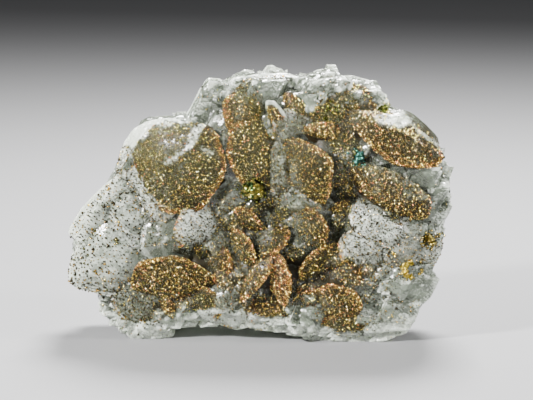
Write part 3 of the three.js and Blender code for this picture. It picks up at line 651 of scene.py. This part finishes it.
# The dust: each crystal's own cover thins out towards one side, and the plate's face has a thin one. Along
# the lower edge it is worn off, and a crystal's rim that faces away from the thin side is bright with it.
face_on = points[:, 1] < mid_plane(points[:, 0]) + 1
facing = smooth_step(0.6, 0.1, normal[:, 1])
low = smooth_step(30, 14, points[:, 2])
low_band = smooth_step(5.6, 4.0, points[:, 2] - low_edge_at(points[:, 0]) + 0.8 * noise(points, 2.5))
crystal_dust = of_crystal(column.dust, 0.0)
tone = np.where(owned, crystal_tone, np.where(low > 0.5, number["brown"], number["olive"]))
thin_side = of_crystal([np.nan if side is None else math.radians(side) for side in column.thin_side], np.nan)
sided = ~np.isnan(thin_side)
offset = points - of_crystal(column.at, (0, 0, 0))
length, width, _ = of_crystal(column.size, (1, 1, 1)).T
along = np.nan_to_num((offset[:, 0] * np.cos(thin_side) + offset[:, 2] * np.sin(thin_side)) / length)
thinning = smooth_step(-0.4, 0.7, along + 0.35 * noise(points, 2.2, 4))
cover = np.where(sided, 1 - np.where(tone == number["olive"], 0.35, 0.65) * thinning, 1)

# Strips of two dusted crystals where white calcite shows through: both ends (across, up), the half width,
# the crystal's row and how white it is.
bare_strips = (
    (-23.4, 46.0, -16.5, 51.0, 0.55, 0, 0.8), (-16.8, 51.5, -14.6, 55.5, 1.3, 0, 0.7),
    (-14.6, 50.2, -11.4, 49.0, 0.8, 0, 0.8), (-34.0, 48.5, -27.0, 56.5, 1.6, 0, 0.8),
    (-27.0, 57.0, -17.0, 57.6, 1.7, 0, 0.7), (-32.0, 44.0, -27.6, 36.4, 1.0, 0, 0.65),
    (-27.6, 36.4, -21.5, 32.6, 1.5, 0, 0.75), (-21.5, 32.6, -12.5, 34.6, 1.1, 0, 0.7),
    (29.6, 57.2, 35.6, 56.7, 1.5, 5, 0.75), (35.6, 57.4, 45.4, 49.4, 0.6, 5, 0.5))
white_strip = np.zeros(len(points))
for x0, z0, x1, z1, half_width, row, whiteness in bare_strips:
    run = np.array([x1 - x0, z1 - z0])
    part = np.clip(((points[:, (0, 2)] - [x0, z0]) @ run) / (run @ run), 0, 1)
    away = np.linalg.norm(points[:, (0, 2)] - [x0, z0] - part[:, None] * run, axis=1)
    bare = smooth_step(1.5, 0.4, away / half_width + 0.55 * noise(points, 1.1, 6)) * (owner == row)
    cover = cover * (1 - 0.85 * bare)
    white_strip = np.maximum(white_strip, bare * whiteness * (1 + 0.35 * noise(points, 0.9, 8)))

plate_dust = (0.55 + 0.2 * low) * smooth_step(0.86, 0.45, share + 0.08 * noise(points, 9.0)) * face_on
dust = np.where(owned, crystal_dust * cover, plate_dust)
dust = dust * (1 + 0.45 * noise(points, 3.4, 2)) * smooth_step(1.0, 0.9, share) ** ~owned
dust = np.where(face_on | owned, dust, 0) * facing
dust = np.clip(dust * (1 - 0.97 * low_band), 0, 1)
from_rim = (rim_share - 1) * width
rim = owned * (crystal_dust > 0.4) * smooth_step(-1.3, -0.6, from_rim)
rim = rim * np.where(sided, smooth_step(0.25, -0.35, along), 0.4) * facing
white_ring = (owner == column.name.index("ringed sliver")) * smooth_step(0.68, 0.84, rim_share)
dust = np.clip(np.maximum(dust, 0.97 * rim) * (1 - white_ring), 0, 1)
rim = rim * (1 - white_ring)

# The calcite is white on the rims of the clear crystals, along the plate's border and its lower edge, partly
# as frosted, broken calcite and partly as a painted glow of light shining through; it is white in the strips
# and the ring, and in patches on the back. The material reads these values at each point.
back = smooth_step(4, 8, points[:, 1])
clear_rim = owned * (tone >= number["spots"]) * smooth_step(-1.1, -0.4, from_rim)
# Painted glow along with real frost: the rims of the clear crystals, the plate's border and its lower edge
# are whitened.
frost = np.maximum(rim, clear_rim) * (1 - dust) + 0.3 * smooth_step(0.88, 0.97, share) * (1 - dust)
frost = frost + frost_by[tone] + 0.9 * low_band + 0.9 * white_strip + 0.6 * white_ring
frost = frost + 0.45 * back * smooth_step(-0.3, 0.6, noise(points, 9.0, 9))
bruise = 0.15 + 0.8 * white_strip + 1.1 * bruised + 0.4 * ~owned * smooth_step(0.6, 0.9, share)
in_front = smooth_step(6, 2, points[:, 1])
# Among these values, the darkening of concave creases and the depth against the surroundings feed painted
# shade, and the bend feeds a painted highlight on convex edges.
for name, values in (
        ("dust", dust * film_by[tone]), ("rim", rim * (dust > 0.25)), ("frost", np.clip(frost, 0, 1)),
        ("bruise", np.clip(bruise + 0.7 * low_band + 0.4 * back, 0, 1)), ("bend", np.clip(bend, -0.08, 1)),
        ("seam", smooth_step(-0.03, -0.16, bend) * in_front), ("warmth", warmth_by[tone]),
        ("proud", np.clip(proud / 4, -1, 1) * smooth_step(0.97, 0.85, share) * in_front)):
    plate.data.attributes.new(name, "FLOAT", "POINT").data.foreach_set("value", values.astype(np.float32))


class Term:
    """One output of a material's nodes. Python's operators on it add Math nodes."""

    def __init__(self, wires, socket):
        self.wires, self.socket = wires, socket

    def math(self, operation, first, second):
        return self.wires.node("ShaderNodeMath", {"operation": operation}, {0: first, 1: second})

    def __add__(self, other):
        return self.math("ADD", self, other)

    def __sub__(self, other):
        return self.math("SUBTRACT", self, other)

    def __rsub__(self, other):
        return self.math("SUBTRACT", other, self)

    def __mul__(self, other):
        return self.math("MULTIPLY", self, other)

    __radd__, __rmul__ = __add__, __mul__

    def ramp(self, low, high):
        """0 below low and 1 above high, in a smooth curve."""
        return self.wires.node("ShaderNodeMapRange", {"interpolation_type": "SMOOTHSTEP"},
                               {"Value": self, "From Min": low, "From Max": high})


class Wires:
    """The nodes of one new material. Its patterns lie on Object coordinates."""

    def __init__(self, name):
        self.material = bpy.data.materials.new(name)
        self.material.use_nodes = True
        self.tree = self.material.node_tree
        self.shader = self.tree.nodes["Principled BSDF"]
        self.place = self.node("ShaderNodeTexCoord", {}, {}, "Object")

    def node(self, kind, settings, sockets, out=0):
        made = self.tree.nodes.new(kind)
        for key, value in settings.items():
            if key == "stops":
                ramp = made.color_ramp
                while len(ramp.elements) < len(value):
                    ramp.elements.new(0.5)
                for element, (position, colour) in zip(ramp.elements, value):
                    element.position, element.color = position, (*colour, 1)
            else:
                setattr(made, key, value)
        self.feed(made, sockets)
        return Term(self, made.outputs[out])

    def feed(self, node, sockets):
        for key, value in sockets.items():
            if isinstance(value, Term):
                self.tree.links.new(value.socket, node.inputs[key])
            else:
                node.inputs[key].default_value = value

    def noise(self, size_mm, detail=3.0, **more):
        return self.node("ShaderNodeTexNoise", {}, {"Vector": self.place, "Scale": 1000 / size_mm,
                                                    "Detail": detail, **more})

    def mix(self, part, first, second):
        """The first colour, with as much of the second as part says."""
        return self.node("ShaderNodeMix", {"data_type": "RGBA"}, {0: part, 6: first, 7: second}, 2)

    def vector(self, operation, *others):
        return self.node("ShaderNodeVectorMath", {"operation": operation}, dict(enumerate(others)))

    def attribute(self, name):
        return self.node("ShaderNodeAttribute", {"attribute_name": name}, {}, "Fac")

    def cells(self, size_mm, vector=None):
        """A random colour in each cell of an uneven pattern."""
        sockets = {"Vector": vector or self.place, "Scale": 1000 / size_mm}
        return self.node("ShaderNodeTexVoronoi", {}, sockets, "Color")

    def tip(self, cells, amount):
        """A vector of its own for each cell: its colour less middle grey, times the amount."""
        return self.vector("MULTIPLY", self.vector("SUBTRACT", cells, (0.5,) * 3), (amount,) * 3)

    def tipped_normal(self, tip):
        """The surface's normal, tipped by a vector as if the surface were broken into small faces."""
        normal = self.node("ShaderNodeNewGeometry", {}, {}, "Normal")
        return self.vector("NORMALIZE", self.vector("ADD", normal, tip))

    def bump(self, height, strength, distance_mm, **normal):
        return self.node("ShaderNodeBump", {}, {"Height": height, "Strength": strength,
                                                "Distance": distance_mm / 1000, **normal})


def dress(piece, material):
    """Gives a piece one material in place of any it has."""
    piece.data.materials.clear()
    piece.data.materials.append(material)


# Calcite's look: glassy and half clear, white along its edges, partly frosted and partly a painted highlight
# and glow, and where it is bruised or broken, dark grey in its smooth faces, with painted shade in its
# hollows and creases.
# Between the grains the finest dust is a dark film, olive to rust.
calcite = Wires("calcite")
cover, edge, white, warmth, bend_here, proud_here, bruise, seam = map(
    calcite.attribute, ("dust", "rim", "frost", "warmth", "bend", "proud", "bruise", "seam"))
cloud = calcite.noise(9.0)
mottle = calcite.noise(1.6, 4.0)
speck = calcite.noise(0.5, 2.0)
streak = calcite.noise(1000 / 260, 4.0, Distortion=0.2, Vector=calcite.node(
    "ShaderNodeMapping", {"vector_type": "TEXTURE"},
    {"Vector": calcite.place, "Rotation": (0.3, -0.4, 0.2), "Scale": (1.0, 0.5, 0.25)}))
waver = calcite.node("ShaderNodeTexNoise", {}, {"Vector": calcite.place, "Scale": 250.0}, "Color")
waver = calcite.vector("ADD", calcite.place, calcite.vector("MULTIPLY", waver, (0.0012, 0.0012, 0.0012)))
slanted = calcite.node("ShaderNodeMapping", {"vector_type": "TEXTURE"}, {
    "Vector": waver, "Rotation": (0.5, -0.3, 0.6), "Scale": (1.0, 0.6, 0.5)})
facet, chip, grain = calcite.cells(1.9, slanted), calcite.cells(0.8, slanted), calcite.cells(0.27)
striae = calcite.node("ShaderNodeTexWave", {"bands_direction": "DIAGONAL"}, {
    "Vector": calcite.place, "Scale": 420.0, "Distortion": 9.0, "Detail": 3.0, "Detail Scale": 2.0})
# pale: the calcite's own cloudy tone, plus painted light where the surface stands out and painted shade
# where it lies back.
pale = cloud * 0.9 + (mottle - 0.5) * 0.45 + proud_here * 0.5 - 0.4
calcite_colour_and_painted_light = calcite.mix(pale.ramp(-0.2, 0.6), (0.078, 0.092, 0.066, 1), (0.32, 0.365, 0.28, 1))
bright = (mottle - 0.5) * 0.7 + (speck - 0.5) * 0.3 + (streak - 0.5) * 0.6
# Painted highlight: convex edges, read from the bend, are whitened in the colour.
bright = white * 0.72 + bend_here * 2.4 + bright * (0.35 + 0.65 * bruise)
bright = bright + (striae - 0.5) * 0.45 * bruise * cloud.ramp(0.48, 0.6)
# Partly painted shade: each small cleavage cell gets its own brightness, for the calcite's inner cleavage
# whiteness and as a painted shade for each small face.
bright = bright + bruise * ((facet - 0.5) * 0.6 + (chip - 0.5) * 0.35)
calcite_colour_and_painted_light = calcite.mix(bright.ramp(0.12, 0.75), calcite_colour_and_painted_light, (0.90, 0.965, 0.83, 1))
# Painted shade: recesses, read at two sizes from how far the surface stands out, are darkened in the colour.
shade = proud_here.ramp(-0.55, 0.0)
calcite_colour_and_painted_light = calcite.mix((1 - proud_here.ramp(-0.22, 0.03)) * 0.55, calcite_colour_and_painted_light, (0.12, 0.13, 0.10, 1))
calcite_colour_and_painted_light = calcite.mix((1 - shade) * 0.3, calcite_colour_and_painted_light, (0.06, 0.066, 0.052, 1))
# Painted shade: concave creases between crystals are darkened.
calcite_colour_and_painted_light = calcite.mix(seam * 0.8, calcite_colour_and_painted_light, (0.09, 0.096, 0.074, 1))
relief = 0.3 * striae * cloud.ramp(0.5, 0.6) + 0.4 * mottle + 0.1 * speck + 0.3 * streak
tilt = calcite.vector("ADD", calcite.tip(facet, 0.7), calcite.tip(chip, 0.4))
tilt = calcite.vector("MULTIPLY", tilt, bruise)
calcite.feed(calcite.shader, {
    "Base Color": calcite_colour_and_painted_light,
    "Roughness": 0.08 + 0.12 * mottle.ramp(0.4, 0.7) + 0.15 * white,
    "IOR": 1.6,
    "Transmission Weight": 0.55,
    "Subsurface Weight": 0.3,
    "Subsurface Radius": (1.0, 1.0, 0.95),
    "Subsurface Scale": 0.0015,
    "Normal": calcite.bump(relief, 0.4, 0.2, Normal=calcite.tipped_normal(tilt)),
})
# The film: a dull stain with lighter specks of its finest grains in it, both along the tones from olive to
# rust, and a painted highlight on convex ridges.
stain = calcite.node("ShaderNodeValToRGB", {"stops": [
    (0.0, (0.026, 0.026, 0.015)), (0.25, (0.015, 0.015, 0.005)), (0.5, (0.018, 0.016, 0.005)),
    (0.8, (0.016, 0.012, 0.005)), (1.0, (0.022, 0.013, 0.007))]}, {"Fac": warmth})
light = calcite.node("ShaderNodeValToRGB", {"stops": [
    (0.0, (0.055, 0.057, 0.036)), (0.25, (0.028, 0.027, 0.010)), (0.5, (0.026, 0.022, 0.009)),
    (0.8, (0.032, 0.025, 0.011)), (1.0, (0.07, 0.038, 0.022))]}, {"Fac": warmth})
stain = calcite.mix(edge * 0.8, stain, (0.055, 0.028, 0.010, 1))
light = calcite.mix(edge * 0.8, light, (0.25, 0.125, 0.036, 1))
# Lighter specks of the finest grains, with a painted highlight where the surface is convex.
specks_and_ridge_highlight = (grain * 2 - 1.25 + bend_here * 0.6).ramp(0.0, 0.8)
# Painted shade: the film is darkened in recesses.
film_colour_and_painted_shade = calcite.mix((1 - shade) * 0.5, calcite.mix(specks_and_ridge_highlight, stain, light), (0.012, 0.010, 0.006, 1))
film = calcite.node("ShaderNodeBsdfPrincipled", {}, {
    "Base Color": film_colour_and_painted_shade, "Metallic": specks_and_ridge_highlight * 0.4, "Roughness": 0.4, "Specular IOR Level": 0.14,
    "Normal": calcite.bump(grain, 0.35, 0.1)})
film_depth = (cover * 1.5 - 0.45 + (grain - 0.5) * 1.5 + (mottle - 0.5) * 0.6).ramp(0.0, 0.3)
both = calcite.tree.nodes.new("ShaderNodeMixShader")
calcite.feed(both, {0: film_depth * cover.ramp(0.0, 0.1) * 0.95,
                    1: Term(calcite, calcite.shader.outputs[0]), 2: film})
absorb = calcite.node("ShaderNodeVolumeAbsorption", {}, {"Color": (0.86, 0.88, 0.84, 1), "Density": 60.0})
calcite.feed(calcite.tree.nodes["Material Output"],
             {"Surface": Term(calcite, both.outputs[0]), "Volume": absorb})
dress(plate, calcite.material)


# The chalcopyrite groups. Each is a heap of bright metallic crystals that grew together in a hollow of the
# calcite, tarnished from brass yellow to green and blue. They keep the shapes that they have in the frame.
def chalcopyrite(name, bright, dark, green, spot_mm):
    """A tarnished metal: patches of two yellows and a green, darker in fine pits."""
    metal = Wires(name)
    patch, fine = metal.noise(spot_mm), metal.noise(0.35, 4.0)
    yellow = metal.mix(patch.ramp(0.38, 0.62), (*bright, 1), (*green, 1))
    face = metal.tipped_normal(metal.tip(metal.cells(0.45), 1.1))
    metal.feed(metal.shader, {
        "Base Color": metal.mix(fine.ramp(0.45, 0.75), yellow, (*dark, 1)),
        "Metallic": 1.0,
        "Roughness": 0.18 + 0.3 * fine,
        "Normal": metal.bump(fine, 0.7, 0.1, Normal=face),
    })
    return metal.material


group_looks = {  # the bright and the dark yellow, the green, and the width of the patches
    "chalcopyrite_cluster": ((0.42, 0.35, 0.08), (0.025, 0.03, 0.010), (0.035, 0.08, 0.025), 0.9),
    "chalcopyrite_on_top_edge": ((0.45, 0.42, 0.10), (0.08, 0.08, 0.02), (0.12, 0.16, 0.03), 1.0),
    "chalcopyrite_between_blades": ((0.09, 0.26, 0.20), (0.02, 0.06, 0.04), (0.05, 0.17, 0.15), 0.7),
    "chalcopyrite_ring": ((0.66, 0.48, 0.08), (0.16, 0.10, 0.015), (0.42, 0.33, 0.04), 1.0),
    "chalcopyrite_right_pair": ((0.40, 0.29, 0.07), (0.06, 0.045, 0.012), (0.12, 0.10, 0.02), 0.9),
}
for node, look in group_looks.items():
    dress(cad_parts[node], chalcopyrite(node, *look))


# The dusting: chalcopyrite grains of mostly 0.2 to 0.5 mm, grown on the calcite's faces. Each grain is an
# eight-faced crystal, sunk a little into the face. Grains of one tarnish make one piece.
grains_per_mm2, lowest_grain = 26.0, 0.45
finishes = (  # name, colour and roughness
    ("gold", (1.0, 0.77, 0.19), 0.13), ("olive", (0.15, 0.14, 0.055), 0.22),
    ("bronze", (0.46, 0.28, 0.075), 0.17), ("rose", (0.88, 0.39, 0.17), 0.18),
    ("dark", (0.035, 0.028, 0.016), 0.3), ("pale", (0.98, 0.92, 0.56), 0.12),
    ("green", (0.55, 0.56, 0.15), 0.15))
# For each tone, in the order of the table above: the width of the cells that hold one grain each, on the
# left and on the right, the grains' size there against the others', and the share of each finish.
dusting = np.array([
    [0.27, 0.27, 1, 1, 0.20, 0.22, 0.05, 0.02, 0.41, 0.04, 0.06],
    [0.27, 0.27, 1, 1, 0.21, 0.15, 0.12, 0.03, 0.44, 0.02, 0.03],
    [0.27, 0.27, 1, 1, 0.22, 0.14, 0.16, 0.06, 0.35, 0.05, 0.02],
    [0.27, 0.27, 1, 1, 0.18, 0.05, 0.34, 0.24, 0.14, 0.04, 0.01],
    [0.95, 0.52, 1.55, 1.05, 0.02, 0.10, 0.30, 0.00, 0.58, 0.00, 0.00],
    [0.27, 0.27, 1, 1, 0.05, 0.34, 0.10, 0.01, 0.48, 0.02, 0.00],
    [0.95, 0.52, 1, 1, 0.04, 0.06, 0.20, 0.00, 0.70, 0.00, 0.00],
    [0.50, 0.50, 1.2, 1.2, 0.04, 0.12, 0.12, 0.00, 0.72, 0.00, 0.00]])
cell_width, size_factor, shares = dusting[:, :2], dusting[:, 2:4], dusting[:, 4:]
rim_shares = np.array([0.36, 0.02, 0.32, 0.20, 0.06, 0.02, 0.02])

plate.data.calc_loop_triangles()
triangles = read(plate.data.loop_triangles, "vertices", 3, np.int32)
a, b, c = (points[triangles[:, k]] for k in range(3))
normals = np.cross(b - a, c - a)
areas = np.linalg.norm(normals, axis=1) / 2
normals = normals / np.maximum(2 * areas, 1e-9)[:, None]
ridge = smooth_step(0.05, 0.2, bend[triangles].mean(1))
weights = areas * dust[triangles].mean(1) * smooth_step(0.45, -0.1, normals[:, 1]) * (1 + 0.25 * ridge)
weights = weights * smooth_step(-0.6, 0.0, proud[triangles].mean(1) / 4)
weights = weights * grains_by[tone[triangles[:, 0]]]
grain_count = int(grains_per_mm2 * weights.sum())
chosen = seeds.choice(len(triangles), grain_count, p=weights / weights.sum())
corner_parts = seeds.dirichlet((1, 1, 1), grain_count)
spots = np.einsum("gk,gkx->gx", corner_parts, points[triangles[chosen]])
grain_tone, grain_rim = tone[triangles[chosen, 0]], rim[triangles[chosen]].mean(1)

# Of the grains in each cell only the one nearest to the cell's own random spot stays, so that the grains
# stand apart, most of all on the white crystals. No grain reaches the ground.
on_right = (spots[:, 0] >= 0).astype(int)
wide = cell_width[grain_tone, on_right][:, None]
apart = wide[:, 0] > 0.5  # the white crystals' cells are counted by themselves
cell = np.floor(spots / wide + 500)  # 500 keeps the numbers of the cells above 0
corner = cell.astype(int) % 32
target = cell + 0.5 + 0.45 * np.stack([lattice[*np.roll(corner, k, axis=1).T] for k in range(3)], -1)
order = np.argsort(np.linalg.norm(spots / wide + 500 - target, axis=1))
first = np.zeros(grain_count, bool)
first[order[np.unique(cell[order] @ [1e8, 1e4, 1] + 0.5 * apart[order], return_index=True)[1]]] = True
kept = first & (spots[:, 2] > lowest_grain)
chosen, spots, grain_tone, grain_rim, on_right = (
    values[kept] for values in (chosen, spots, grain_tone, grain_rim, on_right))
grain_count = len(chosen)
grain_radius = (0.16 + 0.03 * grain_rim) * np.exp(0.33 * seeds.normal(size=grain_count))
grain_radius = grain_radius * size_factor[grain_tone, on_right]
odds = shares[grain_tone] * (1 - 0.7 * grain_rim[:, None]) + rim_shares * 0.7 * grain_rim[:, None]
draw = seeds.uniform(0, 1, grain_count)[:, None] * odds.sum(1)[:, None]
kind = np.sum(np.cumsum(odds, axis=1) < draw, axis=1)
octahedron = np.array([[1, 0, 0], [0, 1, 0], [-1, 0, 0], [0, -1, 0], [0, 0, 1], [0, 0, -1]]) * [1, 1, 0.8]
octahedron_faces = np.array([
    [0, 1, 4], [1, 2, 4], [2, 3, 4], [3, 0, 4], [1, 0, 5], [2, 1, 5], [3, 2, 5], [0, 3, 5]])


def turned_any_way(count):
    """Random turns, as matrices from random unit quaternions."""
    q = seeds.normal(size=(count, 4))
    w, x, y, z = (q / np.linalg.norm(q, axis=1, keepdims=True)).T
    entries = (1 - 2 * (y * y + z * z), 2 * (x * y - w * z), 2 * (x * z + w * y),
               2 * (x * y + w * z), 1 - 2 * (x * x + z * z), 2 * (y * z - w * x),
               2 * (x * z - w * y), 2 * (y * z + w * x), 1 - 2 * (x * x + y * y))
    return np.stack(entries, -1).reshape(-1, 3, 3)


def grown_crystals(spots, outward, radius, sunk):
    """The corners of an eight-faced crystal at each spot, turned any way, with its middle a share of its
    radius over the face."""
    matrices = turned_any_way(len(spots)) * radius[:, None, None]
    centres = spots + outward * sunk * radius[:, None]
    return (np.einsum("gxy,ky->gkx", matrices, octahedron) + centres[:, None]).reshape(-1, 3)


def put_crystals(name, corners, material, colour, roughness):
    """One piece of many eight-faced crystals, in a plain bright metal."""
    first_corner = np.arange(0, len(corners), len(octahedron))
    piece = put_mesh(name, corners, [(octahedron_faces + first_corner[:, None, None]).reshape(-1, 3)])
    metal = Wires(material)
    metal.feed(metal.shader, {"Base Color": (*colour, 1), "Metallic": 1.0, "Roughness": roughness})
    dress(piece, metal.material)
    return piece


for k, (finish, colour, roughness) in enumerate(finishes):
    of_kind = np.flatnonzero(kind == k)
    corners = grown_crystals(spots[of_kind], normals[chosen[of_kind]], grain_radius[of_kind], 0.35)
    grains = put_crystals("dusting_" + finish, corners, "chalcopyrite " + finish, colour, roughness)
    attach(grains, "root")


# Coarser chalcopyrite crystals of 0.5 to 1.3 mm stand round the groups and on a few faces. For each finish
# there are its colour, its crystals' size against the others', and the rings they stand in: the middle
# (across, up), the radius, how far they stray from it and how many there are.
coarse = {
    "green": ((0.15, 0.16, 0.035), 1.2, (
        (-1.9, 39.4, 1.2, 1.4, 40), (17.4, 58.6, 0.8, 1.5, 26), (-1.4, 39.6, 3.2, 0.6, 30))),
    "teal": ((0.05, 0.20, 0.17), 1, ((24.2, 47.6, 0.3, 0.9, 12), (24.4, 47.8, 1.8, 0.4, 12))),
    "brass": ((0.75, 0.56, 0.12), 1, (
        (30.8, 59.0, 0.3, 0.9, 10), (38.4, 19.4, 2.3, 0.35, 34), (13.6, 59.6, 0.2, 0.9, 9),
        (33.2, 23.4, 0.1, 0.6, 5), (16.2, 54.6, 0.2, 1.6, 14), (30.8, 58.8, 1.8, 0.4, 9),
        (44.8, 27.0, 0.6, 0.8, 10))),
    "dull": ((0.32, 0.24, 0.06), 1, (
        (42.3, 26.8, 0.8, 0.8, 14), (44.6, 27.8, 0.2, 0.7, 8), (42.3, 26.8, 2.0, 0.5, 22)))}
middles = points[triangles].mean(1)
for finish, (colour, size, rings) in coarse.items():
    parts = []
    for x, z, ring_radius, stray, count in rings:
        away = np.hypot(middles[:, 0] - x, middles[:, 2] - z) - ring_radius
        chance = areas * np.exp(-(away / stray) ** 2) * smooth_step(0.3, -0.3, normals[:, 1])
        picked = seeds.choice(len(triangles), count, p=chance / chance.sum())
        radius = seeds.uniform(0.25, 0.55, count) * size
        parts.append(grown_crystals(middles[picked], normals[picked], radius, 0.3))
    group = put_crystals("coarse_" + finish, np.vstack(parts), "coarse chalcopyrite " + finish, colour, 0.16)
    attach(group, "root")


# The studio: a plain pale floor, a strong soft light behind and above that glows in the clear edges, a key
# light from the upper left, a weaker one from the right and a faint fill from the camera's side.
bpy.ops.mesh.primitive_plane_add(size=3)
floor = bpy.context.object
floor.name = "floor"
paper = Wires("floor")
paper.feed(paper.shader, {"Base Color": (0.17, 0.17, 0.172, 1), "Roughness": 0.8})
dress(floor, paper.material)

world = bpy.data.worlds.new("studio")
bpy.context.scene.world = world
world.use_nodes = True
world.node_tree.nodes["Background"].inputs["Color"].default_value = (0.06, 0.062, 0.066, 1)

view_centre = Vector((0.0017, -0.008, 0.0362))
for name, place, size, power in (
        ("back light", (0.06, 0.24, 0.40), 0.16, 15.0),
        ("key light", (-0.34, -0.26, 0.28), 0.055, 12.8),
        ("side light", (0.42, -0.12, 0.24), 0.06, 3.5),
        ("fill light", (0.16, -0.62, 0.28), 0.2, 1.6)):
    lamp = bpy.data.lights.new(name, "AREA")
    lamp.energy, lamp.size = power, size
    stand = bpy.data.objects.new(name, lamp)
    bpy.context.scene.collection.objects.link(stand)
    stand.location = place
    stand.rotation_euler = (view_centre - Vector(place)).to_track_quat("-Z", "Y").to_euler()

# The camera looks slightly down at the crystal face through a long lens. 533 pixels cover 133.25 mm there.
camera = bpy.data.objects.new("camera", bpy.data.cameras.new("camera"))
bpy.context.scene.collection.objects.link(camera)
elevation, distance = math.radians(10), 0.6
camera.location = view_centre + distance * Vector((0, -math.cos(elevation), math.sin(elevation)))
camera.rotation_euler = (math.radians(90) - elevation, 0, 0)
camera.data.lens = 36 * distance / 0.13325
bpy.context.scene.camera = camera
